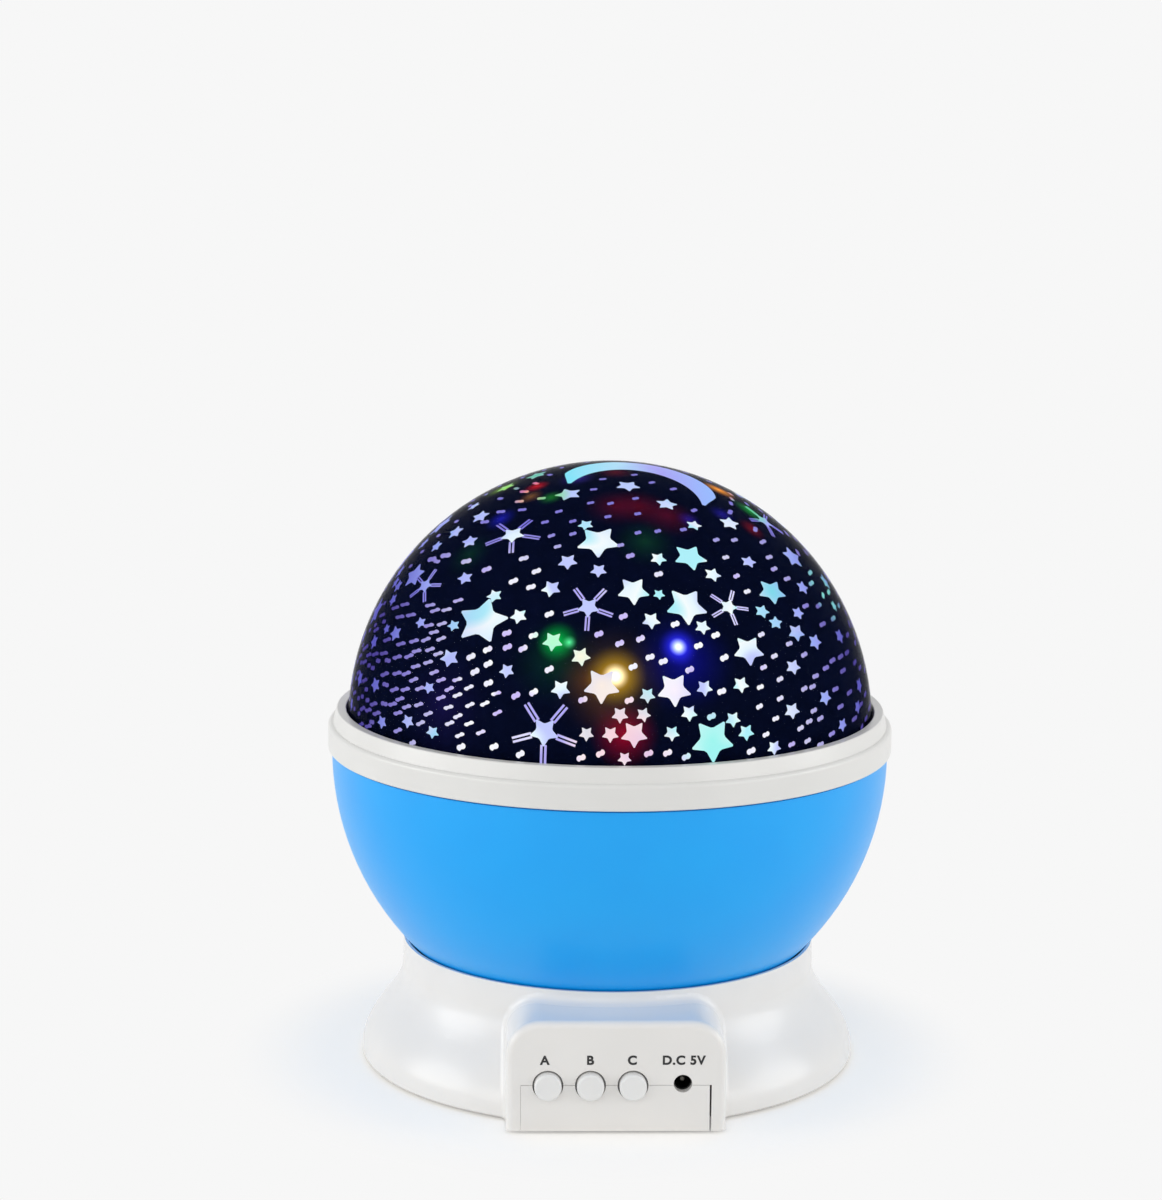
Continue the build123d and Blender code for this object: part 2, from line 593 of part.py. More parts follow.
# ---- controls ----
def make_controls():
    board_bottom = board_z - BOARD_T
    half = BOARD_W / 2
    board = block(-half, half, -board_front, -board_back, board_bottom, board_z)
    for x, y in board_posts:
        board -= cyl(SMALL_SHANK_R + SCREW_PASS, board_bottom - CUT, board_z + CUT, x, y)
    save("control_board", board)
    save("board_screws", Compound([
        screw(x, y, board_z, SMALL_SHANK_R, SMALL_HEAD_R, SMALL_HEAD_H, board_z - plate_top - SCREW_END)
        for x, y in board_posts
    ]))
    chip_y = -board_back - CHIP_BACK
    chip = block(-CHIP_L / 2, CHIP_L / 2, chip_y - CHIP_W, chip_y, board_z, board_z + CHIP_H)
    save("controller_chip", chamfer(chip.edges().group_by(Axis.Z)[-1], CHIP_EDGE))

    bodies = []
    for name, x in zip("abc", button_xs):
        cap = cyl_y(BUTTON_R, -panel_y - BUTTON_OUT, -flange_y, x, button_z)
        cap = fillet(cap.edges().group_by(Axis.Y)[0], BUTTON_EDGE)
        cap += cyl_y(BUTTON_R + FLANGE_W, -flange_y, -stem_y, x, button_z)
        cap += cyl_y(STEM_R, -stem_y, -plunger_y, x, button_z)
        save(f"button_{name}", cap)
        save(f"switch_plunger_{name}", cyl_y(PLUNGER_R, -plunger_y, -plunger_y + PLUNGER_L, x, button_z))
        body = block(x - SWITCH_W / 2, x + SWITCH_W / 2, -switch_y, -switch_y + SWITCH_L,
                     board_z, button_z + SWITCH_TOP)
        bore_end = -switch_y + SWITCH_L - SWITCH_BACK
        bodies.append(body - cyl_y(PLUNGER_R + RUN_GAP, -switch_y - CUT, bore_end, x, button_z))
    save("switch_bodies", Compound(bodies))

    front = -flange_y
    back = front + JACK_L
    side = JACK_W / 2
    bore_end = front + JACK_DEPTH
    body = block(JACK_X - side, JACK_X + side, front, back, board_z, jack_z + side)
    body -= cyl_y(JACK_BORE_R, front - CUT, bore_end, JACK_X, jack_z)
    body -= cyl_y(JACK_PIN_R + RUN_GAP / 2, bore_end - CUT, back + CUT, JACK_X, jack_z)
    spring_z = jack_z + JACK_BORE_R
    spring_half = JACK_SPRING_W / 2
    spring_y = front + JACK_SPRING_SET
    pocket, pocket_z = spring_half + RUN_GAP, spring_z + JACK_SPRING_T + RUN_GAP
    body -= block(JACK_X - pocket, JACK_X + pocket, spring_y, bore_end, jack_z, pocket_z)
    save("dc_jack_body", body)
    pin = cyl_y(JACK_PIN_R, front + JACK_PIN_SET, back + JACK_TAIL, JACK_X, jack_z)
    save("dc_jack_pin", fillet(pin.edges().group_by(Axis.Y)[0], JACK_PIN_EDGE))
    spring = block(JACK_X - spring_half, JACK_X + spring_half, spring_y + RUN_GAP, bore_end,
                   spring_z, spring_z + JACK_SPRING_T)
    save("dc_jack_contact", spring)


# ---- drive ----
def make_deck_and_motor():
    deck = cyl(deck_r, deck_z, deck_top) + cyl(PIVOT_R, deck_z, pivot_top)
    deck -= cyl(PIVOT_BORE_R, deck_z - CUT, pivot_top + CUT)
    groove = LEAD_STEP + 2 * LEAD_R
    groove_top = deck_z + 2 * LEAD_R + 2 * SLIP_GAP
    deck -= block(-groove, groove, -deck_r - CUT, 0, deck_z - CUT, groove_top)
    low, high = deck_z - CUT, deck_top + CUT
    deck -= cyl(MOTOR_BOSS_R + SCREW_PASS, low, high, 0, gear_mid)
    for x, y in deck_posts:
        deck -= cyl(CASE_SHANK_R + SCREW_PASS, low, high, x, y)
    for x, y in motor_screws:
        deck -= cyl(SMALL_SHANK_R + SCREW_PASS, low, high, x, y)
    for x, y in stem_screws:
        deck -= cyl(FINE_SHANK_R + SCREW_GAP, pivot_top - FINE_BITE - SCREW_END, pivot_top + CUT, x, y)
    save("motor_deck", deck)
    save("deck_screws", Compound([
        screw(x, y, deck_top, CASE_SHANK_R, CASE_HEAD_R, CASE_HEAD_H, CASE_SCREW_L) for x, y in deck_posts
    ]))

    box_z = deck_z - GEARBOX_H
    gearbox = cyl(MOTOR_R, box_z, deck_z, 0, gear_mid)
    reach = MOTOR_R + EAR_REACH
    gearbox += block(-reach, reach, gear_mid - EAR_W / 2, gear_mid + EAR_W / 2, deck_z - EAR_T, deck_z)
    for x, y in motor_screws:
        gearbox += cyl(EAR_W / 2, deck_z - EAR_T, deck_z, x, y)
        gearbox -= cyl(SMALL_SHANK_R + SCREW_GAP, deck_z - EAR_T - CUT, deck_z + CUT, x, y)
    gearbox += cyl(MOTOR_BOSS_R, deck_z, deck_top - BODY_GAP, 0, gear_mid)
    gearbox -= cyl(SHAFT_R + RUN_GAP, box_z + SHAFT_IN - SLIP_GAP, deck_top, 0, gear_mid)
    save("gearbox", gearbox)
    can = cyl(MOTOR_R - CAN_IN, plate_top + MOTOR_UNDER, box_z, 0, gear_mid)
    save("motor", fillet(can.edges().group_by(Axis.Z)[0], CAN_EDGE))
    save("motor_screws", Compound([
        screw(x, y, deck_top, SMALL_SHANK_R, SMALL_HEAD_R, SMALL_HEAD_H, DECK_T + EAR_T - SLIP_GAP)
        for x, y in motor_screws
    ]))
    save("slip_washer", tube(hub_bore_r + WASHER_W, hub_bore_r + SLIP_GAP, deck_top, deck_top + WASHER_T))

    wheel_root = gear_mid - GEAR_MODULE * (PINION_TEETH / 2 + PINION_ADDENDUM) - ROOT_GAP
    pinion_root = gear_mid - GEAR_MODULE * (WHEEL_TEETH / 2 + WHEEL_ADDENDUM) - ROOT_GAP
    wheel = gear(WHEEL_TEETH, WHEEL_ADDENDUM, wheel_root, hub_bore_r, GEAR_T, 90 + 180 / WHEEL_TEETH)
    wheel = Pos(0, 0, wheel_z) * wheel
    wheel += tube(HUB_FLANGE_R, hub_bore_r, wheel_top, floor_z)
    wheel += tube(hub_r, hub_bore_r, floor_z, hub_top)
    for x, y in hub_screws:
        wheel -= cyl(SMALL_SHANK_R + SCREW_GAP, wheel_z + GEAR_FLOOR, floor_z + CUT, x, y)
    save("turntable_gear", wheel)
    head_z = floor_z + FLOOR_T
    length = head_z - wheel_z - GEAR_FLOOR - SCREW_END
    save("hub_screws", Compound([
        screw(x, y, head_z, SMALL_SHANK_R, SMALL_HEAD_R, SMALL_HEAD_H, length) for x, y in hub_screws
    ]))
    bore_r = SHAFT_R + RUN_GAP / 2
    pinion = gear(PINION_TEETH, PINION_ADDENDUM, pinion_root, bore_r, pinion_top - pinion_z, -90)
    save("pinion", Pos(0, gear_mid, pinion_z) * pinion)
    save("motor_shaft", cyl(SHAFT_R, box_z + SHAFT_IN, pinion_top, 0, gear_mid))


# ---- bowl, ring and dome ----
def make_bowl():
    in_r = BOWL_R - BOWL_WALL
    floor_top = floor_z + FLOOR_T
    hole_r = hub_r + SLIP_GAP
    groove_z = rim_z - JOINT_H
    groove_r = sphere_r(BOWL_R, bowl_z, groove_z) - JOINT_W
    edges = polyline_edges([(hole_r, floor_z), (sphere_r(BOWL_R, bowl_z, floor_z), floor_z)])
    edges.append(sphere_edge(BOWL_R, bowl_z, floor_z, groove_z))
    edges += polyline_edges([
        (sphere_r(BOWL_R, bowl_z, groove_z), groove_z), (groove_r, groove_z), (groove_r, rim_z),
        (sphere_r(in_r, bowl_z, rim_z), rim_z),
    ])
    edges.append(sphere_edge(in_r, bowl_z, rim_z, floor_top))
    edges += polyline_edges([
        (sphere_r(in_r, bowl_z, floor_top), floor_top), (hole_r, floor_top), (hole_r, floor_z),
    ])
    bowl = turned(edges)
    for x, y in hub_screws:
        bowl -= cyl(SMALL_SHANK_R + SCREW_PASS, floor_z - CUT, floor_top + CUT, x, y)
    save("bowl", bowl)


def make_ring():
    ledge_z = rim_z + BAND_H
    tier_r = ring_out_r - LEDGE_W
    skirt_r = BOWL_R - BOWL_WALL - SLIP_GAP
    seat_in = dome_r - SEAT_W
    low, top_r = rim_z - SKIRT_H, tier_r - TIER_DRAFT
    ring = turned(polyline_edges([
        (skirt_r, rim_z), (ring_out_r, rim_z), (ring_out_r, ledge_z), (tier_r, ledge_z), (top_r, ring_top),
        (ring_in_r, ring_top), (ring_in_r, seat_z), (seat_in, seat_z), (seat_in, dish_z),
        (skirt_r - SKIRT_T, dish_z), (skirt_r - SKIRT_T, low), (skirt_r, low), (skirt_r, rim_z),
    ]))
    for x, y in dish_screws:
        ring -= cyl(FINE_SHANK_R + SCREW_GAP, dish_z - CUT, seat_z - SEAT_ROOF, x, y)
    ring = fillet(rims(ring, ring_out_r, ledge_z), BAND_EDGE)
    ring = fillet(rims(ring, top_r, ring_top) + rims(ring, ring_in_r, ring_top), TIER_EDGE)
    save("rim_ring", fillet(rims(ring, ring_out_r, rim_z), BAND_FOOT))


def rims(shape, radius, z):
    """Round edges of a shape with a radius and a height."""
    circles = shape.edges().filter_by(GeomType.CIRCLE)
    return [e for e in circles if abs(e.radius - radius) < TOUCH and abs(e.center().Z - z) < TOUCH]


def make_dish():
    rim_in = dish_r - DISH_RIM_W
    hole_r = STEM_HEAD_R + 2 * BODY_GAP
    flat_r = hole_r + DISH_FLAT
    low = dish_z - DISH_T - DISH_DROP
    dish = turned(polyline_edges([
        (dish_r, dish_z - DISH_T), (dish_r, dish_z), (rim_in, dish_z), (flat_r, low + DISH_T),
        (hole_r, low + DISH_T), (hole_r, low), (flat_r, low), (rim_in, dish_z - DISH_T),
        (dish_r, dish_z - DISH_T),
    ]))
    for x, y in dish_screws:
        dish -= cyl(FINE_SHANK_R + SCREW_PASS, dish_z - DISH_T - CUT, dish_z + CUT, x, y)
    save("reflector_dish", dish)
    head_z = dish_z - DISH_T
    length = seat_z - SEAT_ROOF - SCREW_END - head_z
    save("dish_screws", Compound([
        screw(x, y, head_z, FINE_SHANK_R, FINE_HEAD_R, FINE_HEAD_H, length, up=True) for x, y in dish_screws
    ]))


def cap_shell(out_r, in_r, low):
    """Half sphere over a short upright skirt, with a wall."""
    def half(radius, bottom):
        skirt = polyline_edges([(0, bottom), (radius, bottom), (radius, dome_z)])
        mid = radius * math.sqrt(0.5)
        top = ThreePointArc((radius, 0, dome_z), (mid, 0, dome_z + mid), (0, 0, dome_z + radius))
        return turned(skirt + [top] + polyline_edges([(0, dome_z + radius), (0, bottom)]))
    return half(out_r, low) - half(in_r, low - CUT)


def window(az, height, size):
    """A star-shaped cutter that points out of the dome."""
    a, e = math.radians(az), math.radians(height)
    out = Vector(math.sin(a) * math.cos(e), -math.cos(a) * math.cos(e), math.sin(e))
    up = Vector(-math.sin(a) * math.sin(e), math.cos(a) * math.sin(e), math.cos(e))
    plane = Plane(origin=out * (mask_out_r - STAR_CUT), x_dir=up.cross(out), z_dir=out)
    points = []
    for k in range(2 * STAR_POINTS):
        r = size if k % 2 == 0 else size * STAR_WAIST
        turn = math.pi / 2 + math.pi * k / STAR_POINTS
        points.append((r * math.cos(turn), r * math.sin(turn)))
    return Pos(0, 0, dome_z) * (plane * extrude(make_face(Polyline(*points, close=True)), 2 * STAR_CUT))


def make_dome():
    low = seat_z + SLIP_GAP
    shell = cap_shell(dome_r, dome_r - DOME_WALL, low)
    shell += tube(dome_r - DOME_WALL / 2, dome_r - DOME_WALL - LIP_W, low, low + LIP_H)
    save("dome_shell", shell)

    mask_low = low + LIP_H
    mask = cap_shell(mask_out_r, mask_out_r - MASK_T, mask_low)
    cutters = [
        window(az + sector * 360 / SECTORS, height, size)
        for sector in range(SECTORS) for az, height, size in WINDOWS
    ]
    moon_top = dome_z + mask_out_r + CUT
    moon = cyl(CRESCENT_R, dome_z, moon_top, *CRESCENT_AT) & block(
        -dome_r, dome_r, CRESCENT_END, dome_r, dome_z, moon_top)
    cutters.append(moon - cyl(HOLLOW_R, dome_z - CUT, moon_top + CUT, *HOLLOW_AT))
    save("star_mask", mask - cutters)


# ---- lamp ----
def make_lamp():
    head_z = board_rest_z - STEM_HEAD_T
    flange_top = pivot_top + STEM_FLANGE_T
    stem = cyl(LAMP_STEM_R, deck_top, head_z)
    stem += cyl(STEM_FLANGE_R, pivot_top, flange_top)
    stem += Pos(0, 0, head_z - STEM_CONE_H) * Cone(
        LAMP_STEM_R, STEM_HEAD_R, STEM_CONE_H, align=(Align.CENTER, Align.CENTER, Align.MIN))
    stem += cyl(STEM_HEAD_R, head_z, board_rest_z)
    stem -= cyl(stem_bore_r, deck_top - CUT, board_rest_z + CUT)
    for x, y in stem_screws:
        stem -= cyl(FINE_SHANK_R + SCREW_PASS, pivot_top - CUT, flange_top + CUT, x, y)
    for x, y in lamp_screws:
        stem -= cyl(FINE_SHANK_R + SCREW_GAP, head_z + STEM_FLOOR, board_rest_z + CUT, x, y)
    save("lamp_stem", stem)
    save("stem_screws", Compound([
        screw(x, y, flange_top, FINE_SHANK_R, FINE_HEAD_R, FINE_HEAD_H, STEM_FLANGE_T + FINE_BITE)
        for x, y in stem_screws
    ]))

    board_top = board_rest_z + LAMP_BOARD_T
    board = cyl(LAMP_BOARD_R, board_rest_z, board_top)
    for x, y in lamp_screws:
        board -= cyl(FINE_SHANK_R + SCREW_PASS, board_rest_z - CUT, board_top + CUT, x, y)
    save("lamp_board", board)
    length = board_top - head_z - STEM_FLOOR - SCREW_END
    save("lamp_board_screws", Compound([
        screw(x, y, board_top, FINE_SHANK_R, FINE_HEAD_R, FINE_HEAD_H, length) for x, y in lamp_screws
    ]))
    outer = ("warm", "blue", "green")
    places = dict(zip(outer, around(len(outer), LED_AT, LED_TURN)))
    places["red"] = (0.0, 0.0)
    for colour, (x, y) in places.items():
        led = cyl(LED_FLANGE_R, board_top, board_top + LED_FLANGE_T, x, y)
        led += cyl(LED_R, board_top, board_top + LED_BODY_H, x, y)
        led += Pos(x, y, board_top + LED_BODY_H) * Sphere(LED_R)
        save(f"led_{colour}", led)


def make_leads():
    start_y = -(board_back + 2 * LEAD_R)
    run_z = deck_z + LEAD_R + SLIP_GAP
    save("lamp_leads", Compound([
        lead([(x, start_y, board_z), (x, start_y, run_z), (x, 0, run_z), (x, 0, board_rest_z)])
        for x in (-LEAD_STEP, LEAD_STEP)
    ]))
    side_z = board_z - BOARD_T / 2
    motor_leads = []
    for way in (-1, 1):
        y0 = -(board_back + LEAD_SIDE + way * LEAD_STEP)
        x1 = well_x + WELL_WALL + 3 * LEAD_R + LEAD_STEP + way * LEAD_STEP
        y1 = gear_mid + way * LEAD_STEP
        end_x = MOTOR_R - CAN_IN
        run = [(BOARD_W / 2, y0, side_z), (x1, y0, side_z), (x1, y1, side_z), (end_x, y1, side_z)]
        motor_leads.append(lead(run))
    save("motor_leads", Compound(motor_leads))


make_base_shell()
make_bottom_plate()
make_case_fasteners()
make_battery_parts()
make_controls()
make_deck_and_motor()
make_bowl()
make_ring()
make_dish()
make_dome()
make_lamp()
make_leads()
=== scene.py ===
import math
import random

import bpy
from mathutils import Matrix, Vector


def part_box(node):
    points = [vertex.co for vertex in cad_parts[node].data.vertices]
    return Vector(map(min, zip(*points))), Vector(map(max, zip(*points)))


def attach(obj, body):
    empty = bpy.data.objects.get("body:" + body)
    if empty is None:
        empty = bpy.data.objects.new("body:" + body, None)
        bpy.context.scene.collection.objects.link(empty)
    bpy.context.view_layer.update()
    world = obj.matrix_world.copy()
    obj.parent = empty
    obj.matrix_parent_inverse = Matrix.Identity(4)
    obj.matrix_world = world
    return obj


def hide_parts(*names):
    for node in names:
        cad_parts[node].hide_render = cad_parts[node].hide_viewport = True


# Star projector: clear dome over a printed star film, white ring, blue bowl, white base.
# Metres, +Z up, the control panel faces -Y. A size written in millimetres is multiplied by MM.

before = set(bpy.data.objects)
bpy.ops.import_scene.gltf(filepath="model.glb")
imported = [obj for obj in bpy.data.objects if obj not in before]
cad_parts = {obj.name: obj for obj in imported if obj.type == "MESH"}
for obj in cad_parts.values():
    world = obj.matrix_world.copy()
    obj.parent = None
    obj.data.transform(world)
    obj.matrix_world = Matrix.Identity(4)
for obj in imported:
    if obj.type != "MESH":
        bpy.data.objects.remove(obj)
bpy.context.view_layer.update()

MM = 0.001
random.seed(7)

# ---- places taken from the frame ----
dome_low, dome_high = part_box("dome_shell")
DOME_WALL = 1.2 * MM
DOME_R = (dome_high.x - dome_low.x) / 2
DOME_MID = dome_high.z - DOME_R     # height of the dome's middle
FILM_PRESS = 0.02 * MM      # the film is bonded to the dome's inner face, so it just enters the wall
FILM_R = DOME_R - DOME_WALL + FILM_PRESS
FILM_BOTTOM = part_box("star_mask")[0].z
PANEL_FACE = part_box("bottom_plate")[0].y

# ---- star film ----
FILM_T = 0.4 * MM           # thickness
INLAY_LIFT = 0.02 * MM      # windows start this far outside the film
INLAY_T = 0.06 * MM         # and are this thick
SECTORS = 3                 # the printed pattern repeats around the dome
SECTOR_HALF = 60            # degrees from a sector's middle to its edge
CLEAR = 0.5 * MM            # bare film kept around each window
LOOSE = 2.6 * MM            # and around a dot that only fills a gap
LOOSE_TRIES = 6000          # how often such a dot is tried
STAR_WIDEN, DOT_WIDEN = 1.4, 2.2    # motifs get wider towards the sides of the pattern, up to this

# A star and the long rays around it, in the star's size.
STAR_RADII = (1.06, 0.56)   # its points and its notches
STAR_BLUNT = 0.08           # how far its points are cut back
BURST_START, BURST_REACH = 0.9, 2.3     # where the rays start and end
BAR_WIDTH, BAR_ASIDE = 0.16, 0.14       # each ray has two bars: their width and their place beside its line

DOT, SMALL_DOT, DASH = 1.95, 1.55, 2.1  # lengths of the dots, millimetres
DOT_HEIGHT, DASH_HEIGHT = 0.82, 0.48    # in their lengths
DOT_WAIST = 0.62            # height between a dot's two lobes, in that of the lobes
DOT_STEP = 0.09             # the right lobe stands this much above the middle, the left below, in lengths
SMALL_FROM, SMALL_ABOVE = 32, 52        # dots further right or higher than this are small
DOT_LOW, DOT_HIGH = 3, 82   # degrees above the dome's middle
DOT_SLANT = 3               # degrees at the front
SLANT_DRIFT = -0.26         # degrees more for each degree to the right
DOT_TURN, DASH_TURN, LOOSE_TURN = 7, 6, 8   # degrees each kind turns at random, either way

# Slanting rows of dashes low on the left, in degrees.
ROW_COUNT, ROW_LOW = 18, 6  # how many rows, and how high the lowest one is at ROW_MID
ROW_STEP, ROW_PITCH = 1.8, 4.6          # from row to row, and from dash to dash
ROW_STAGGER = 1.9           # each row starts this much further right than the one below, within a pitch
ROW_LEFT, ROW_MID = -86, -50
LOW_RIGHT, HIGH_RIGHT = -27, -45        # where low and high rows end
ROW_HIGH = 20               # a row above this is a high one
ROW_SLOPE, ROW_STEEPER = 0.08, 0.006    # climb per degree to the right, and how it grows with height
SHIFT_AROUND, SHIFT_ABOVE = 0.6, 0.4    # how far a dash is off its place at random

# How lit windows change colour over the dome, in the film's radius.
SIDE_FADES = ((0.55, 0.9), (0.82, 1.0)) # where their first and second side colours come in
SIDE_RISE = 0.25            # windows dim sooner towards the sides when they are high
TOP_FADE = 0.2              # over how much height their top colour comes in

# Each motif: degrees around from the front, degrees above the dome's middle, size in millimetres, turn.
STARS = [
    (4, 41, 3.5, 0), (-7, 54, 4.7, 5), (24, 49, 3.6, -4), (18, 37, 4.5, -5), (47, 38, 3.1, -14),
    (32, 26, 3.4, -6), (12, 19, 3.7, 0), (20, 8, 4.7, 0), (-36, 32, 5.3, 36), (-4, 20, 3.9, 0),
    (-16, 48, 2.1, 10), (-19, 41, 2.1, 0), (-6, 46, 1.8, 0), (8, 34, 2.0, 0), (13, 49, 1.8, 0),
    (28, 66, 2.2, 8), (11, 75, 2.7, -5), (-31, 70, 2.7, 5), (-13, 59, 1.7, 0), (-26, 34, 1.8, 0),
    (29, 44, 1.8, 0), (45, 46, 1.6, 0), (52, 57, 2.1, 0), (33, 58, 1.6, 0), (70, 44, 2.9, 10),
    (62, 37, 1.7, 0), (40, 34, 1.6, 0), (43, 31, 1.5, 20), (53, 32, 1.5, 0), (49, 28, 2.0, -10),
    (83, 35, 2.0, 0), (69, 24, 1.7, 0), (21, 32, 1.7, 0), (11, 40, 1.3, 0), (55, 25, 1.8, 0),
    (44, 21, 1.7, 0), (19, 19, 1.8, 0), (28, 19, 1.8, 0), (73, 12, 1.7, 0), (53, 13, 1.7, 0),
    (15, 14, 1.8, 0), (25, 12, 1.7, 0), (28, 9, 1.8, 0), (41, 12, 1.8, 0), (35, 5, 1.6, 0),
    (59, 6, 1.5, 0), (-16, 29, 2.2, 0), (-9, 26, 2.1, 12), (-13, 19, 2.1, 0), (6, 18, 1.7, 0),
    (11, 10, 1.7, 0), (-42, 23, 2.0, 0), (-46, 16, 1.3, 0), (-56, 29, 1.3, 0), (-44, 30, 1.3, 0),
    (-71, 25, 1.2, 0), (-26, 22, 1.6, 0), (-48, 41, 1.6, 0), (-35, 38, 1.6, 0), (-85, 34, 1.5, 0),
    (-72, 51, 2.0, 0), (-58, 50, 1.8, 0), (-43, 7, 1.4, 0), (-51, 8, 1.5, 0), (0, 14, 1.8, 0),
    (5, 14, 1.6, 10), (-2, 10, 1.8, 0), (-7, 10, 1.6, 0), (3, 10, 2.9, 0), (1, 5, 1.5, 0),
    (-98, 73, 2.4, 0),
]
BURSTS = [(-8, 37, 2.4, 0), (30, 36, 1.9, 5), (-16, 10, 3.1, 0), (-41, 54, 2.4, 24), (-63, 37, 1.9, -35)]
DOTS = [
    (-21, 52), (-31, 48), (-25, 45), (-25, 41), (-18, 35), (4, 50), (12, 45), (1, 35), (10, 63), (16, 57),
    (27, 57), (-16, 73), (-14, 67), (-3, 67), (-4, 62), (12, 69), (-19, 60), (-25, 55), (-17, 56),
    (-31, 59), (-28, 63), (-48, 62), (36, 76), (-65, 68), (-45, 67), (1, 53), (14, 33), (37, 43),
    (37, 48), (38, 53), (60, 50), (38, 39), (54, 43), (57, 40), (56, 46), (58, 33), (65, 32), (70, 28),
    (62, 28), (76, 23), (24, 30), (19, 28), (25, 25), (37, 29), (45, 26), (39, 24), (35, 22), (49, 23),
    (39, 19), (33, 18), (46, 16), (51, 18), (64, 17), (60, 20), (23, 18), (16, 23), (58, 14), (65, 12),
    (38, 15), (20, 13), (32, 14), (36, 11), (33, 8), (29, 5), (14, 5), (46, 9), (50, 9), (45, 5),
    (40, 5), (54, 5), (-21, 30), (-23, 27), (-16, 23), (-19, 18), (-23, 17), (-5, 31), (0, 29), (5, 30),
    (7, 26), (3, 24), (10, 25), (2, 17), (-8, 17), (-4, 6), (-8, 5), (6, 6), (10, 6), (-21, 5), (-28, 30),
    (-27, 27), (-32, 26), (-31, 23), (-36, 24), (-34, 21), (-30, 19), (-35, 5), (-27, 6), (-42, 44),
    (-31, 42), (-64, 45), (-70, 43), (-59, 60), (-52, 45), (-61, 56), (70, 20), (56, 19), (78, 15),
    (49, 16), (59, 10), (48, 11), (43, 8), (66, 6), (65, 20), (74, 17), (82, 20), (72, 8), (78, 9),
    (85, 13), (82, 5), (76, 4), (69, 37), (74, 39), (82, 29), (79, 33),
]
# The crescent over the top lies between two circles, seen from above, in millimetres.
MOON_INNER_R = 15.4
MOON_INNER_AT = (4.1, -18.7)
MOON_OUTER_R = 17.4
MOON_OUTER_AT = (5.4, -9.9)
MOON_ENDS = (153, 7)        # degrees around the inner circle
MOON_TAPER = 0.12           # part of its length over which each end narrows
MOON_TIP = 0.35             # width left at each end, in that of the middle
MOON_CLEAR = 0.8            # how far it reaches around each point of its mesh
MOON_LEFT, MOON_RIGHT = -8, 25          # its colours run between these places across
MOON_DRIFT = 6              # and wander by up to this

# ---- words on the panel, in millimetres: name, word, place across ----
LABELS = [("a", "A", -15.5), ("b", "B", -5.7), ("c", "C", 3.4), ("supply", "D.C 5V", 14.5)]
LABEL_Z = 16.5
LABEL_SIZE = 2.75
LABEL_BOLD = (0.06, 0.07)   # the font's own weight, and the mesh drawn outwards
LABEL_WIDE = 1.02
LABEL_SPACE = 1.1           # between letters, in the font's own space
LABEL_T = 0.04

# ---- studio, in metres ----
FLOOR_R, FLOOR_EDGE = 6.0, 0.4
FLOOR_FADE = (0.054, 0.09)  # distances at which the floor starts to turn plain white, and is white
FLOOR_LIFT = 0.22           # light added to the floor where it shows
WORLD_LIGHT, WORLD_SHOWN = 0.5, 0.973   # the world's strength as a light, and as the background
# name, degrees around from the front, degrees above the floor, degrees wide, strength
LIGHTS = [
    ("left_light", -88, 16, 36, 0.96), ("right_light", 88, 16, 36, 0.82),
    ("near_left_light", -50, 14, 30, 0.4), ("near_right_light", 50, 14, 30, 0.4),
    ("front_light", -12, 34, 30, 0.3),
]
CAMERA_AT = (-0.0268, -0.7312, 0.2413)
CAMERA_TURN, CAMERA_TILT, CAMERA_ROLL = -2.1, 79.62, 0.59   # degrees
CAMERA_SENSOR, CAMERA_LENS = 36, 97.55  # millimetres
CAMERA_SHIFT = (-0.02525, -0.00275)


def linear(code):
    """An sRGB hex colour as linear RGBA."""
    parts = [int(code[k:k + 2], 16) / 255 for k in (0, 2, 4)]
    return [c / 12.92 if c <= 0.04045 else ((c + 0.055) / 1.055) ** 2.4 for c in parts] + [1.0]


def per_mm(size):
    """Texture scale on Object coordinates for a pattern that repeats every size millimetres."""
    return 1 / (size * MM)


def add(material, kind, links=None, **settings):
    """Adds a node with its settings; links holds input values or the sockets that feed them."""
    tree = material.node_tree
    node = tree.nodes.new("ShaderNode" + kind)
    for name, value in settings.items():
        setattr(node, name, value)
    for name, value in (links or {}).items():
        if isinstance(value, bpy.types.NodeSocket):
            tree.links.new(value, node.inputs[name])
        else:
            node.inputs[name].default_value = value
    return node


def blank(name):
    """A new material with only an output node."""
    material = bpy.data.materials.new(name)
    material.use_nodes = True
    material.node_tree.nodes.clear()
    return material


def finish_shader(material, shader):
    """Links a shader to the material's output; a glow is not sampled as a lamp, which keeps it smooth."""
    add(material, "OutputMaterial", {"Surface": shader.outputs[0]})
    material.cycles.emission_sampling = "NONE"
    return material


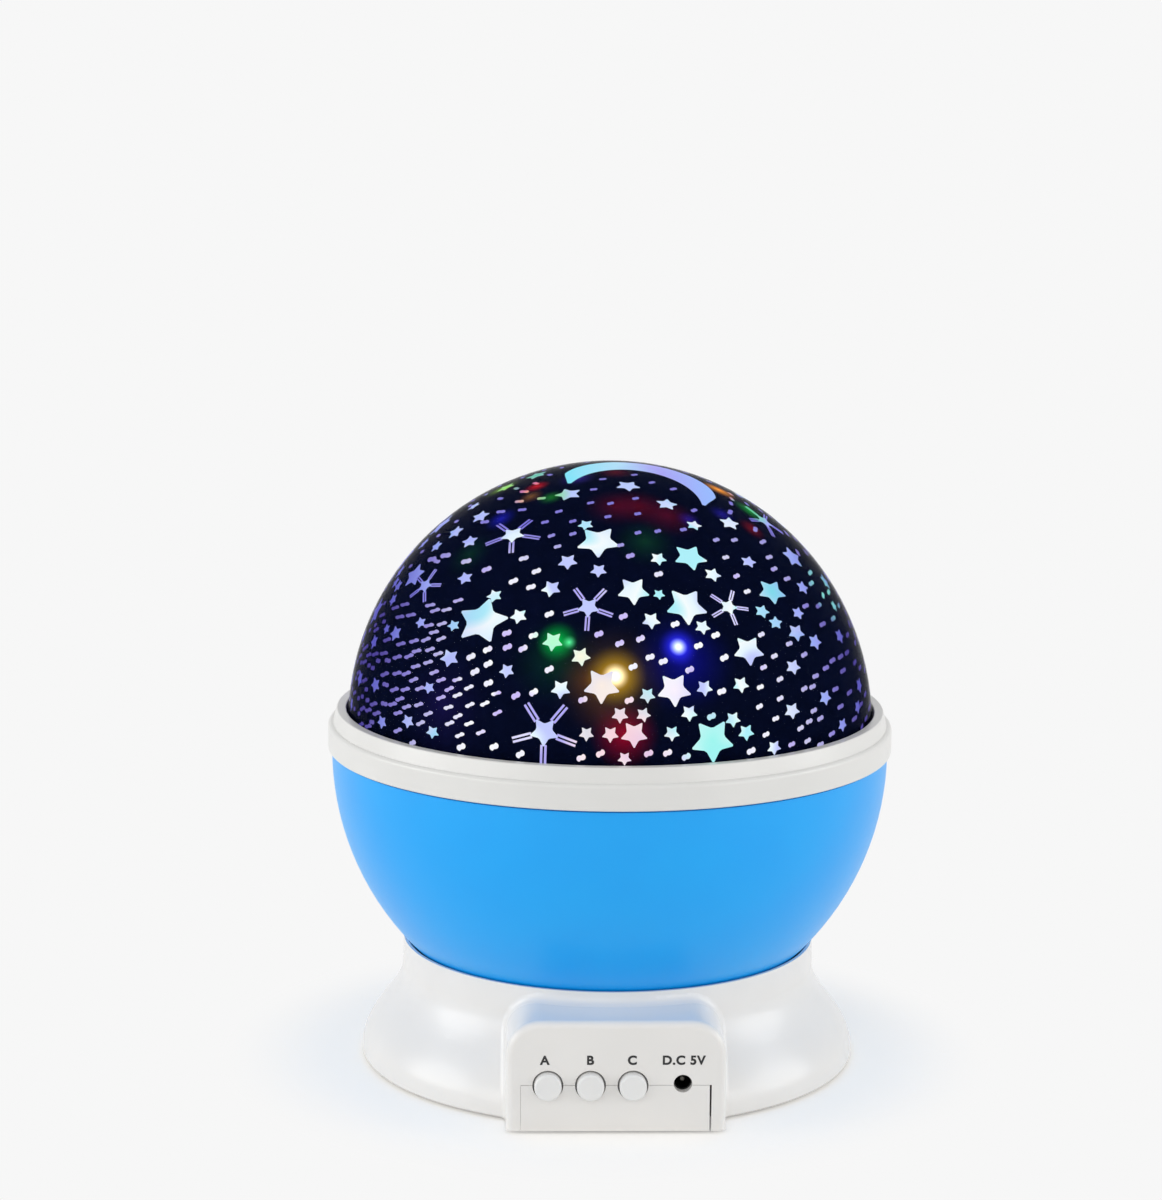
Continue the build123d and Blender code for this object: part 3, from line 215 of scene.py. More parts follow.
# ---- plastics, metals and boards ----
def moulded(name, code, shade, roughness, peel_mm=1.6, peel=0.03, mottle_mm=14.0, specular=0.5):
    """Injection-moulded plastic: nearly even colour, soft mottle from the melt, faint orange peel."""
    material = blank(name)
    place = add(material, "TexCoord").outputs["Object"]
    melt = add(material, "TexNoise", {"Vector": place, "Scale": per_mm(mottle_mm), "Detail": 1.0})
    tint = add(material, "ValToRGB", {"Fac": melt.outputs["Fac"]})
    tint.color_ramp.elements[0].position = 0.3
    tint.color_ramp.elements[0].color = linear(shade)
    tint.color_ramp.elements[1].position = 0.7
    tint.color_ramp.elements[1].color = linear(code)
    skin = add(material, "TexNoise", {"Vector": place, "Scale": per_mm(peel_mm), "Detail": 2.0})
    uneven = 0.08       # of the roughness, either way
    gloss = add(material, "MapRange", {"Value": skin.outputs["Fac"], "To Min": roughness * (1 - uneven),
                                       "To Max": roughness * (1 + uneven)})
    bump = add(material, "Bump", {"Height": skin.outputs["Fac"], "Strength": peel, "Distance": 0.02 * MM})
    shader = add(material, "BsdfPrincipled", {
        "Base Color": tint.outputs["Color"], "Roughness": gloss.outputs["Result"],
        "Normal": bump.outputs["Normal"], "IOR": 1.53, "Specular IOR Level": specular})
    return finish_shader(material, shader)


def plated(name, code, shade, roughness, line_mm):
    """Rolled or turned metal with a thin bright plating: fine lines, slightly uneven shine."""
    material = blank(name)
    place = add(material, "TexCoord").outputs["Object"]
    flat = 12.0         # the lines are this much longer than they are high
    drawn = add(material, "Mapping", {"Vector": place, "Scale": (1.0, 1.0, flat)})
    lines = add(material, "TexNoise", {
        "Vector": drawn.outputs["Vector"], "Scale": per_mm(line_mm), "Detail": 4.0})
    tint = add(material, "ValToRGB", {"Fac": lines.outputs["Fac"]})
    tint.color_ramp.elements[0].color = linear(shade)
    tint.color_ramp.elements[1].color = linear(code)
    uneven = 0.3        # of the roughness, either way
    gloss = add(material, "MapRange", {"Value": lines.outputs["Fac"], "To Min": roughness * (1 - uneven),
                                       "To Max": roughness * (1 + uneven)})
    bump = add(material, "Bump", {"Height": lines.outputs["Fac"], "Strength": 0.2, "Distance": 0.01 * MM})
    shader = add(material, "BsdfPrincipled", {
        "Base Color": tint.outputs["Color"], "Metallic": 1.0, "Roughness": gloss.outputs["Result"],
        "Normal": bump.outputs["Normal"]})
    return finish_shader(material, shader)


def board(name, code, trace_code):
    """Solder mask over copper: flat gloss with the faint lighter lines of the tracks under it."""
    material = blank(name)
    place = add(material, "TexCoord").outputs["Object"]
    tracks = add(material, "TexBrick", {
        "Vector": place, "Scale": per_mm(6.0), "Mortar Size": 0.05, "Mortar Smooth": 0.3,
        "Color1": linear(code), "Color2": linear(code), "Mortar": linear(trace_code)})
    bump = add(material, "Bump", {"Height": tracks.outputs["Fac"], "Strength": 0.4, "Distance": 0.04 * MM})
    shader = add(material, "BsdfPrincipled", {
        "Base Color": tracks.outputs["Color"], "Roughness": 0.35, "Normal": bump.outputs["Normal"],
        "IOR": 1.55})
    return finish_shader(material, shader)


def lens(name, code, pale, strength):
    """A lit lamp's cast epoxy lens: glossy, glowing in its colour with paler clouds."""
    material = blank(name)
    place = add(material, "TexCoord").outputs["Object"]
    cloud = add(material, "TexNoise", {"Vector": place, "Scale": per_mm(3.0), "Detail": 1.0})
    tint = add(material, "ValToRGB", {"Fac": cloud.outputs["Fac"]})
    tint.color_ramp.elements[0].color = linear(code)
    tint.color_ramp.elements[1].color = linear(pale)
    shader = add(material, "BsdfPrincipled", {
        "Base Color": linear(code), "Roughness": 0.12, "IOR": 1.54, "Emission Color": tint.outputs["Color"],
        "Emission Strength": strength})
    return finish_shader(material, shader)


def clear_dome():
    """Polished clear polystyrene. Faint flow lines; its IOR is set low, so the dark film stays dark."""
    material = blank("polished_clear_polystyrene")
    place = add(material, "TexCoord").outputs["Object"]
    flow = add(material, "TexNoise", {"Vector": place, "Scale": per_mm(30.0), "Detail": 1.0})
    bump = add(material, "Bump", {"Height": flow.outputs["Fac"], "Strength": 0.02, "Distance": 0.02 * MM})
    shader = add(material, "BsdfPrincipled", {
        "Base Color": linear("F6F9FC"), "Roughness": 0.02, "Transmission Weight": 1.0, "IOR": 1.02,
        "Normal": bump.outputs["Normal"]})
    return finish_shader(material, shader)


# ---- printed film and its lit windows ----
def on_dome(around, above, radius):
    """A point on the dome: degrees around from the front, degrees above its middle."""
    a, e = math.radians(around), math.radians(above)
    return Vector((math.sin(a) * math.cos(e), -math.cos(a) * math.cos(e), math.sin(e))) * radius


# where a lamp or its reflection glows through: around, above, reach in millimetres, colour, strength
GLOWS = [
    (-1, 22, 3.2, "FFF6D0", 3.0), (-1, 22, 7.2, "ECB400", 1.0), (-2, 21, 14, "503C06", 0.7),
    (14, 28, 2.2, "C8D8FF", 3.0), (14, 28, 4.8, "2C2CFF", 1.7), (15, 25, 13, "100C90", 0.7),
    (-15, 29, 5.0, "00B040", 1.3), (-12, 29, 1.8, "58E898", 1.2), (-15, 25, 11, "04340A", 0.7),
    (-7, 21, 7.0, "502804", 0.8), (1, 10, 8.0, "9A0018", 0.85), (-4, 15, 7.0, "3A1404", 0.6),
    (0, 66, 8.0, "500206", 0.7), (12, 66, 8.0, "500206", 0.8), (24, 62, 8.0, "500206", 0.8),
    (10, 54, 8.0, "08340E", 0.8), (-64, 71, 3.5, "B81818", 1.2), (-54, 67, 3.5, "7A5020", 0.9),
    (-40, 68, 3.5, "1A701A", 1.0), (-54, 58, 4.5, "1A1AA8", 0.9), (-43, 78, 5.0, "3A2A90", 0.8),
    (4, 84, 5.0, "5A0C08", 0.8), (-95, 65, 5.0, "6A9020", 1.1), (88, 66, 5.0, "E08820", 1.6),
    (79, 58, 5.0, "108024", 1.2), (62, 54, 4.0, "700C08", 1.0), (54, 60, 4.0, "20188A", 0.9),
    (33, 60, 3.5, "20188A", 0.8), (-53, 47, 7.0, "062C08", 0.8), (-41, 13, 15, "160A40", 0.7),
]
# where windows take the colour of the lamp behind them: around, above, reach in millimetres, colour
TINTS = [
    (-16, 29, 5.0, "B8FFD0"), (0, 10, 12, "FFD4DC"), (-64, 71, 5.0, "FF7A6A"), (-54, 67, 4.5, "FFC070"),
    (-40, 68, 4.5, "80E080"), (-90, 66, 7.0, "98E060"), (88, 66, 6.0, "FFB458"), (79, 58, 5.0, "68E098"),
    (20, 8, 8.0, "A0F8F0"), (47, 38, 5.0, "80DCEC"), (75, 34, 9.0, "88E8D8"), (-9, 26, 4.0, "FFFCE0"),
    (-4, 20, 5.0, "FFF0E4"), (12, 19, 5.0, "FFF4FF"), (-98, 73, 4.0, "58C8A0"),
]
GLOW_POWER, TINT_POWER = 2.0, 0.6       # how fast a glow and a window's colour fall off from their middle


def lamp_spot(material, place, around, above, reach, power):
    """1 at a point of the film, falling to 0 at reach millimetres from it."""
    middle = on_dome(around, above, FILM_R) + Vector((0, 0, DOME_MID))
    away = add(material, "VectorMath", {0: place, 1: middle}, operation="DISTANCE")
    near = add(material, "MapRange", {
        "Value": away.outputs["Value"], "From Max": reach * MM, "To Min": 1.0, "To Max": 0.0})
    return add(material, "Math", {0: near.outputs["Result"], 1: power}, operation="POWER").outputs[0]


def printed_film():
    """Black printed film: deep, slightly uneven ink, with lamp light bleeding through in soft spots."""
    material = blank("black_printed_film")
    place = add(material, "TexCoord").outputs["Object"]
    ink = add(material, "TexNoise", {"Vector": place, "Scale": per_mm(4.0), "Detail": 3.0})
    tint = add(material, "ValToRGB", {"Fac": ink.outputs["Fac"]})
    tint.color_ramp.elements[0].color = linear("030716")
    tint.color_ramp.elements[1].color = linear("070C24")
    light = None
    for around, above, reach, code, strength in GLOWS:
        near = lamp_spot(material, place, around, above, reach, GLOW_POWER)
        colour = Vector(linear(code)[:3]) * strength
        spot = add(material, "VectorMath", {0: colour, "Scale": near}, operation="SCALE")
        if light:
            spot = add(material, "VectorMath", {0: light.outputs[0], 1: spot.outputs[0]}, operation="ADD")
        light = spot
    shader = add(material, "BsdfPrincipled", {
        "Base Color": tint.outputs["Color"], "Roughness": 0.5, "Specular IOR Level": 0.0,
        "Emission Color": light.outputs[0], "Emission Strength": 1.0})
    return finish_shader(material, shader)


def lit_window(name, codes, side_codes, top, top_code):
    """Unprinted film lit from behind: bright in the middle, dim and violet towards the sides and top."""
    material = blank(name)
    place = add(material, "TexCoord").outputs["Object"]
    cloud = add(material, "TexNoise", {"Vector": place, "Scale": per_mm(11.0), "Detail": 0.0})
    tone = add(material, "ValToRGB", {"Fac": cloud.outputs["Fac"]})
    ramp = tone.color_ramp
    while len(ramp.elements) < len(codes):
        ramp.elements.new(0.5)
    first, span = 0.35, 0.3     # most of the cloud's values lie here
    for k, code in enumerate(codes):
        ramp.elements[k].position = first + span * k / (len(codes) - 1)
        ramp.elements[k].color = linear(code)
    axes = add(material, "SeparateXYZ", {"Vector": place}).outputs
    aside = add(material, "Math", {0: axes["X"]}, operation="ABSOLUTE")
    rise = add(material, "Math", {0: axes["Z"], 1: SIDE_RISE, 2: aside.outputs[0]}, operation="MULTIPLY_ADD")
    edge = SIDE_RISE * DOME_MID
    fades = [(rise.outputs[0], edge + begin * FILM_R, edge + end * FILM_R, code)
             for (begin, end), code in zip(SIDE_FADES, side_codes)]
    fades.append((axes["Z"], DOME_MID + top * FILM_R, DOME_MID + (top + TOP_FADE) * FILM_R, top_code))
    colour = tone.outputs["Color"]
    for value, low, high, code in fades:
        fade = add(material, "MapRange", {"Value": value, "From Min": low, "From Max": high},
                   interpolation_type="SMOOTHSTEP")
        colour = add(material, "Mix", {0: fade.outputs["Result"], 6: colour, 7: linear(code)},
                     data_type="RGBA").outputs[2]
    for around, above, reach, code in TINTS:
        near = lamp_spot(material, place, around, above, reach, TINT_POWER)
        colour = add(material, "Mix", {0: near, 6: colour, 7: linear(code)}, data_type="RGBA").outputs[2]
    shader = add(material, "BsdfPrincipled", {
        "Base Color": linear("101014"), "Roughness": 0.5, "Specular IOR Level": 0.0,
        "Emission Color": colour, "Emission Strength": 1.0})
    return finish_shader(material, shader)


def moon_window():
    """The crescent's film lit from behind, its glow painted on: cyan at its left tip, pale violet over the
    top, blue at its right end.
    """
    material = blank("crescent_window")
    place = add(material, "TexCoord").outputs["Object"]
    across = add(material, "SeparateXYZ", {"Vector": place}).outputs["X"]
    cloud = add(material, "TexNoise", {"Vector": place, "Scale": per_mm(9.0), "Detail": 1.0})
    drift = add(material, "Math", {0: cloud.outputs["Fac"], 1: MOON_DRIFT * MM, 2: across},
                operation="MULTIPLY_ADD")
    along = add(material, "MapRange", {
        "Value": drift.outputs[0], "From Min": MOON_LEFT * MM, "From Max": MOON_RIGHT * MM})
    tint = add(material, "ValToRGB", {"Fac": along.outputs["Result"]})
    ramp = tint.color_ramp
    for k, (at, code) in enumerate([(0.0, "7FE6F8"), (0.35, "B4E2FA"), (0.65, "ACA6F6"), (1.0, "9CBCFF")]):
        if k > 1:
            ramp.elements.new(at)
        ramp.elements[k].position = at
        ramp.elements[k].color = linear(code)
    shader = add(material, "BsdfPrincipled", {
        "Base Color": linear("101014"), "Roughness": 0.5, "Specular IOR Level": 0.0,
        "Emission Color": tint.outputs["Color"], "Emission Strength": 1.0})
    return finish_shader(material, shader)


# ---- modelling helpers ----
def only(*objects):
    """Selects these objects alone; the first becomes active."""
    bpy.ops.object.select_all(action="DESELECT")
    for obj in objects:
        obj.select_set(True)
    bpy.context.view_layer.objects.active = objects[0]


def apply_modifier(obj, kind, **settings):
    """Adds a modifier and applies it."""
    only(obj)
    modifier = obj.modifiers.new(kind.lower(), kind)
    for name, value in settings.items():
        setattr(modifier, name, value)
    bpy.ops.object.modifier_apply(modifier=modifier.name)


def placed(master, matrix):
    """A copy of a modelled piece with its own mesh, its place in the mesh."""
    copy = master.copy()
    copy.data = master.data.copy()
    copy.data.transform(matrix)
    bpy.context.collection.objects.link(copy)
    return copy


def joined(name, parts):
    """Several copies as one piece."""
    only(*parts)
    if len(parts) > 1:
        bpy.ops.object.join()
    piece = bpy.context.object
    piece.name = name
    return piece


def outline(name, count, radii, blunt=0.0):
    """A flat filled outline: a circle whose points are drawn in or out by turns and may be cut back."""
    bpy.ops.object.select_all(action="DESELECT")
    bpy.ops.mesh.primitive_circle_add(vertices=count, radius=1.0, fill_type="NGON")
    piece = bpy.context.object
    piece.name = name
    for k, vertex in enumerate(piece.data.vertices):
        vertex.co = vertex.co * radii[k % len(radii)]
    bpy.ops.object.mode_set(mode="EDIT")
    bpy.ops.mesh.select_all(action="SELECT")
    if blunt:
        bpy.ops.mesh.bevel(offset=blunt, segments=1, affect="VERTICES")
        bpy.ops.mesh.select_all(action="SELECT")
    bpy.ops.mesh.poke()
    bpy.ops.object.mode_set(mode="OBJECT")
    return piece


def star_master():
    """Five-pointed star, one point down, radius 1."""
    star = outline("star", 10, STAR_RADII, STAR_BLUNT)
    star.data.transform(Matrix.Rotation(math.pi, 4, "Z"))
    return star


def dot_master(name, height):
    """A dot of two lobes, the right one a little higher, as long as 1."""
    dot = outline(name, 16, [1.0])
    for vertex in dot.data.vertices:
        waist = DOT_WAIST + (1 - DOT_WAIST) * min(1.0, 2 * abs(vertex.co.x))
        lift = DOT_STEP * max(-1.0, min(1.0, 3 * vertex.co.x))
        vertex.co = Vector((vertex.co.x * 0.5, vertex.co.y * height / 2 * waist + lift, 0))
    return dot


def ray_master():
    """The five long rays, of two bars each, around a star of radius 1."""
    bpy.ops.object.select_all(action="DESELECT")
    bpy.ops.mesh.primitive_grid_add(x_subdivisions=1, y_subdivisions=3, size=1.0)
    bar = bpy.context.object
    bar.data.transform(Matrix.Diagonal((BAR_WIDTH, BURST_REACH - BURST_START, 1.0, 1.0)))
    parts = []
    for k in range(5):
        spin = Matrix.Rotation(math.pi + math.tau * k / 5, 4, "Z")
        for side in (-BAR_ASIDE, BAR_ASIDE):
            parts.append(placed(bar, spin @ Matrix.Translation((side, (BURST_START + BURST_REACH) / 2, 0))))
    bpy.data.objects.remove(bar)
    return joined("rays", parts)


def moon_master():
    """A crescent between two circles, subdivided, so that it can lie on the dome."""
    bpy.ops.object.select_all(action="DESELECT")
    bpy.ops.mesh.primitive_grid_add(x_subdivisions=32, y_subdivisions=6, size=1.0)
    moon = bpy.context.object
    inner, outer = Vector(MOON_INNER_AT), Vector(MOON_OUTER_AT)
    for vertex in moon.data.vertices:
        turn = math.radians(MOON_ENDS[0] + (vertex.co.x + 0.5) * (MOON_ENDS[1] - MOON_ENDS[0]))
        ray = Vector((math.cos(turn), math.sin(turn)))
        along = ray.dot(outer - inner)
        far = along + math.sqrt(along ** 2 - (outer - inner).length_squared + MOON_OUTER_R ** 2)
        thin = min(1.0, MOON_TIP + (1 - MOON_TIP) * (0.5 - abs(vertex.co.x)) / MOON_TAPER)
        flat = (inner + ray * (MOON_INNER_R + (vertex.co.y + 0.5) * (far - MOON_INNER_R) * thin)) * MM
        vertex.co = Vector((flat.x, flat.y, math.sqrt(FILM_R ** 2 - flat.length_squared)))
    return moon


def lie_on(size, around, above, turn, widen):
    """Places a flat motif on the dome, upright as seen from outside and wider by widen."""
    out = on_dome(around, above, 1.0)
    a = math.radians(around)
    right = Vector((math.cos(a), math.sin(a), 0))
    up = out.cross(right)
    basis = Matrix((right, up, out)).transposed().to_4x4()
    scale = Matrix.Diagonal((widen, 1, 1, 1)) @ Matrix.Rotation(math.radians(turn), 4, "Z")
    return Matrix.Translation(out * FILM_R) @ basis @ scale @ Matrix.Diagonal((size, size, 1, 1))


class Layout:
    """Where windows already are. Those of one group may touch, and those of different groups don't."""

    def __init__(self):
        self.taken = []

    def take(self, spot, reach, group, clear):
        """Keeps a place, unless a window of another group is in the way."""
        for other, far, theirs in self.taken:
            if theirs != group and (spot - other).length < reach + far + clear:
                return False
        self.taken.append((spot, reach, group))
        return True


def wrapped(name, parts, material):
    """Joins flat motifs, lays them on the film as thin inlays and moves them to the dome."""
    piece = joined(name, parts)
    apply_modifier(piece, "CAST", cast_type="SPHERE", factor=1.0, use_radius_as_size=False,
                   radius=0.0, size=FILM_R + INLAY_LIFT)
    apply_modifier(piece, "SOLIDIFY", thickness=INLAY_T, offset=1.0)
    piece.data.transform(Matrix.Translation((0, 0, DOME_MID)))
    piece.data.materials.clear()
    piece.data.materials.append(material)
    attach(piece, "dome")


def make_film():
    """The printed film under the dome: a thin shell on a short upright skirt."""
    bpy.ops.object.select_all(action="DESELECT")
    bpy.ops.mesh.primitive_uv_sphere_add(segments=128, ring_count=64, radius=FILM_R)
    film = bpy.context.object
    film.name = "star_film"
    bpy.ops.object.mode_set(mode="EDIT")
    bpy.ops.mesh.select_all(action="SELECT")
    bpy.ops.mesh.bisect(plane_co=(0, 0, 0), plane_no=(0, 0, 1), clear_inner=True)
    bpy.ops.mesh.select_all(action="SELECT")
    bpy.ops.mesh.region_to_loop()
    bpy.ops.mesh.extrude_region_move(TRANSFORM_OT_translate={"value": (0, 0, FILM_BOTTOM - DOME_MID)})
    bpy.ops.mesh.select_all(action="SELECT")
    bpy.ops.mesh.remove_doubles(threshold=0.01 * MM)
    bpy.ops.mesh.normals_make_consistent(inside=False)
    bpy.ops.object.mode_set(mode="OBJECT")
    apply_modifier(film, "SOLIDIFY", thickness=FILM_T, offset=-1.0)
    film.data.transform(Matrix.Translation((0, 0, DOME_MID)))
    only(film)
    bpy.ops.object.shade_smooth_by_angle(angle=math.radians(40))
    film.data.materials.append(printed_film())
    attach(film, "dome")
    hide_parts("star_mask")


def widened(side, most):
    """How much wider a motif is, side degrees from the middle of its sector."""
    return min(most, 1 / math.cos(math.radians(min(80.0, abs(side)))))


def make_windows(moon):
    """All the lit windows of the film but the crescent. The front pattern is repeated around the dome."""
    layout = Layout()
    for vertex in moon.data.vertices:
        layout.take(vertex.co.copy(), MOON_CLEAR * MM, "moon", 0)
    masters = {"stars": star_master(), "rays": ray_master(), "dots": dot_master("dot", DOT_HEIGHT),
               "dashes": dot_master("dash", DASH_HEIGHT)}
    made = {kind: [] for kind in masters}
    # kind, around, above, size, turn, and how far the motif reaches, in its size
    motifs = [("stars", *motif, 1.0) for motif in STARS + BURSTS]
    motifs += [("rays", *motif, BURST_REACH) for motif in BURSTS]
    for around, above in DOTS:
        size = DOT if around < SMALL_FROM and above < SMALL_ABOVE else SMALL_DOT
        motifs.append(("dots", around, above, size, random.uniform(-DOT_TURN, DOT_TURN), 0.5))
    rows = [("dashes", *spot, DASH, random.uniform(-DASH_TURN, DASH_TURN), 0.5) for spot in slanting_rows()]

    def add_motif(kind, around, above, size, turn, spread, sector, group, clear):
        """Adds one window in a sector, unless a window of another group is in the way."""
        most = STAR_WIDEN
        if kind in ("dots", "dashes"):
            most = DOT_WIDEN
            turn += DOT_SLANT + SLANT_DRIFT * around
        widen = widened(around, most)
        turned = around + sector * 360 / SECTORS
        if layout.take(on_dome(turned, above, FILM_R), size * spread * MM, group, clear):
            place = lie_on(size * MM, turned, above, turn, widen)
            made[kind].append(placed(masters[kind], place))

    for sector in range(SECTORS):
        for motif in motifs:
            if sector == 0 or abs(motif[1]) < SECTOR_HALF:
                add_motif(*motif, sector, sector, CLEAR)
    for sector in range(SECTORS):
        for k, motif in enumerate(rows):
            if sector != 1:     # there they would lie on the right of the front pattern
                add_motif(*motif, sector, ("row", sector, k), CLEAR)
    for trial in range(LOOSE_TRIES):
        above = math.degrees(math.asin(random.uniform(math.sin(math.radians(DOT_LOW)), 1.0)))
        around = random.uniform(-SECTOR_HALF, SECTOR_HALF)
        if above < DOT_HIGH:
            turn = random.uniform(-LOOSE_TURN, LOOSE_TURN)
            add_motif("dots", around, above, SMALL_DOT, turn, 0.5, trial % SECTORS, ("loose", trial), LOOSE)
    for master in masters.values():
        bpy.data.objects.remove(master)
    star_light = lit_window("star_window", ["C4CCFF", "E8F8FF", "F8FFFF", "B0F2FA"],
                            ["9AA4F2", "5A56BE"], 0.78, "BCCCFA")
    wrapped("window_stars", made["stars"], star_light)
    ray_light = lit_window("ray_window", ["B4ACF4", "E6E2FF", "D4D0FF"],
                           ["8C88E8", "5450B4"], 0.66, "7C74D8")
    wrapped("window_rays", made["rays"], ray_light)
    dot_light = lit_window("dot_window", ["CFC0F8", "FFFFFF", "F4F2FF"],
                           ["8A80D4", "463A92"], 0.66, "847CD8")
    wrapped("window_dots", made["dots"], dot_light)
    wrapped("window_dashes", made["dashes"], dot_light)


def slanting_rows():
    """Places of the dashes low on the left, in rows that climb to the right, more steeply higher up."""
    spots = []
    for row in range(ROW_COUNT):
        middle = ROW_LOW + row * ROW_STEP
        right = HIGH_RIGHT if middle > ROW_HIGH else LOW_RIGHT
        around = ROW_LEFT + (row * ROW_STAGGER) % ROW_PITCH
        while around < right:
            above = middle + (around - ROW_MID) * (ROW_SLOPE + ROW_STEEPER * middle)
            if above > DOT_LOW:
                spots.append((around + random.uniform(-SHIFT_AROUND, SHIFT_AROUND),
                              above + random.uniform(-SHIFT_ABOVE, SHIFT_ABOVE)))
            around += ROW_PITCH
    return spots


# ---- printed words on the panel ----
def make_labels():
    """Screen-printed letters over the buttons and the jack: flat black ink, slightly uneven."""
    ink = blank("screen_printed_black")
    place = add(ink, "TexCoord").outputs["Object"]
    grain = add(ink, "TexNoise", {"Vector": place, "Scale": per_mm(0.5), "Detail": 2.0})
    tint = add(ink, "ValToRGB", {"Fac": grain.outputs["Fac"]})
    tint.color_ramp.elements[0].color = linear("0E0E0F")
    tint.color_ramp.elements[1].color = linear("242426")
    finish_shader(ink, add(ink, "BsdfPrincipled", {"Base Color": tint.outputs["Color"], "Roughness": 0.4}))
    for name, word, x in LABELS:
        bpy.ops.object.select_all(action="DESELECT")
        bpy.ops.object.text_add()
        letters = bpy.context.object
        letters.name = "label_" + name
        letters.data.body = word
        letters.data.align_x = "CENTER"
        letters.data.align_y = "CENTER"
        letters.data.size = LABEL_SIZE * MM
        letters.data.offset = LABEL_BOLD[0] * MM
        letters.data.extrude = LABEL_T / 2 * MM
        letters.data.space_character = LABEL_SPACE
        bpy.ops.object.convert(target="MESH")
        bpy.ops.object.mode_set(mode="EDIT")
        bpy.ops.mesh.select_all(action="SELECT")
        bpy.ops.mesh.remove_doubles(threshold=0.002 * MM)
        bpy.ops.transform.shrink_fatten(value=LABEL_BOLD[1] * MM)
        bpy.ops.object.mode_set(mode="OBJECT")
        for vertex in letters.data.vertices:
            vertex.co.z = math.copysign(LABEL_T / 2 * MM, vertex.co.z)
        upright = Matrix.Rotation(math.pi / 2, 4, "X")
        at = Vector((x * MM, PANEL_FACE - LABEL_T / 2 * MM, LABEL_Z * MM))
        letters.data.transform(Matrix.Translation(at) @ upright @ Matrix.Diagonal((LABEL_WIDE, 1, 1, 1)))
        letters.data.materials.append(ink)
        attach(letters, "base")


# ---- materials of the carried-over nodes ----
def dress_nodes():
    """Gives every node of the frame its own finish."""
    # polished housing: bright neutral white with wide soft highlights
    base_white = moulded("gloss_white_abs", "EEECE9", "EBE9E6", 0.25, specular=0.45)
    # the ring is polished less: a shade greyer and barely warm, with a softer shine
    ring_white = moulded("warm_white_abs", "E6E6E4", "E3E3E1", 0.32)
    # keys with a fine satin texture: no clear highlight
    button_white = moulded("satin_white_abs", "ECECEB", "E9E9E8", 0.4, peel_mm=0.8)
    # dyed all through: strong even blue with a broad weak sheen
    blue = moulded("sky_blue_abs", "00ACFF", "00A9FE", 0.36, specular=0.42)
    # dish that throws the lamps' light up: flat and very white
    dish_white = moulded("reflector_white", "F2F2F2", "EDEDED", 0.45)
    # plain tube: dull white
    stem_white = moulded("plain_white_abs", "DEDEDC", "D6D6D4", 0.5)
    # slippery gear plastic: creamy, with a waxy sheen
    acetal = moulded("acetal_white", "ECEADF", "E4E1D4", 0.35, specular=0.4)
    # inner deck, left as moulded: flat mid grey
    deck_grey = moulded("grey_abs", "B9BBBF", "B0B2B7", 0.5)
    # gearbox: near black with a fine dull texture
    nylon = moulded("black_nylon", "1E1E20", "171719", 0.55, peel_mm=0.5)
    # switches, jack and chip: black with a small highlight
    black = moulded("black_abs", "121214", "0B0B0C", 0.35)
    # feet: dark grey, grainy and without shine
    rubber = moulded("grey_rubber", "3C3C3C", "303030", 0.85, peel_mm=0.7, peel=0.6, specular=0.3)
    # smooth printed sleeve around the cells: green with a clear highlight
    jacket = moulded("printed_cell_jacket", "4E7F5C", "3F6E4E", 0.3, mottle_mm=20)
    # insulation of the leads: red and half matt
    sleeve = moulded("red_pvc_sleeve", "B52A22", "A3231C", 0.45, peel_mm=0.6)
    # thin washer: waxy white, half matt
    ptfe = moulded("white_ptfe", "F0F0EE", "E6E6E4", 0.5)
    # screws and motor can: cool light grey metal with fine lines
    zinc = plated("zinc_plated_steel", "C9CACC", "A9ABAE", 0.3, 0.5)
    # contact strip: bright, slightly warm metal
    nickel = plated("nickel_plated_strip", "CFCBC2", "B7B2A8", 0.25, 0.4)
    # pin and contact inside the jack: bright nickel painted dark and dull, as painted shade for the shadow
    # inside the jack
    shade_darkened_nickel = plated("shade_darkened_nickel_pin", "807D77", "5F5C57", 0.5, 0.3)
    finishes = {
        base_white: ["base_shell", "bottom_plate", "battery_door"],
        button_white: ["button_a", "button_b", "button_c"],
        ring_white: ["rim_ring"],
        blue: ["bowl"],
        dish_white: ["reflector_dish"],
        stem_white: ["lamp_stem"],
        acetal: ["turntable_gear", "pinion"],
        deck_grey: ["motor_deck"],
        nylon: ["gearbox"],
        black: ["controller_chip", "switch_bodies", "dc_jack_body", "switch_plunger_a", "switch_plunger_b",
                "switch_plunger_c", "star_mask"],
        rubber: ["rubber_feet"],
        jacket: ["battery_cells"],
        sleeve: ["lamp_leads", "motor_leads"],
        ptfe: ["slip_washer"],
        zinc: ["case_screws", "board_screws", "deck_screws", "motor", "motor_screws", "stem_screws",
               "lamp_board_screws", "hub_screws", "dish_screws", "motor_shaft"],
        nickel: ["battery_contact_minus", "battery_contact_plus", "battery_link_front",
                 "battery_links_rear"],
        shade_darkened_nickel: ["dc_jack_pin", "dc_jack_contact"],
        board("green_solder_mask", "12512B", "2A7A45"): ["control_board"],
        board("white_solder_mask", "E4E6E4", "D2D8D2"): ["lamp_board"],
        lens("warm_lamp_lens", "FFC860", "FFE9B0", 1.0): ["led_warm"],
        lens("red_lamp_lens", "F02018", "FF6050", 0.9): ["led_red"],
        lens("green_lamp_lens", "18D83C", "70F890", 0.9): ["led_green"],
        lens("blue_lamp_lens", "2440F4", "7088FF", 0.9): ["led_blue"],
        clear_dome(): ["dome_shell"],
    }
    for material, nodes in finishes.items():
        for name in nodes:
            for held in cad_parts[name].material_slots:
                held.material = material


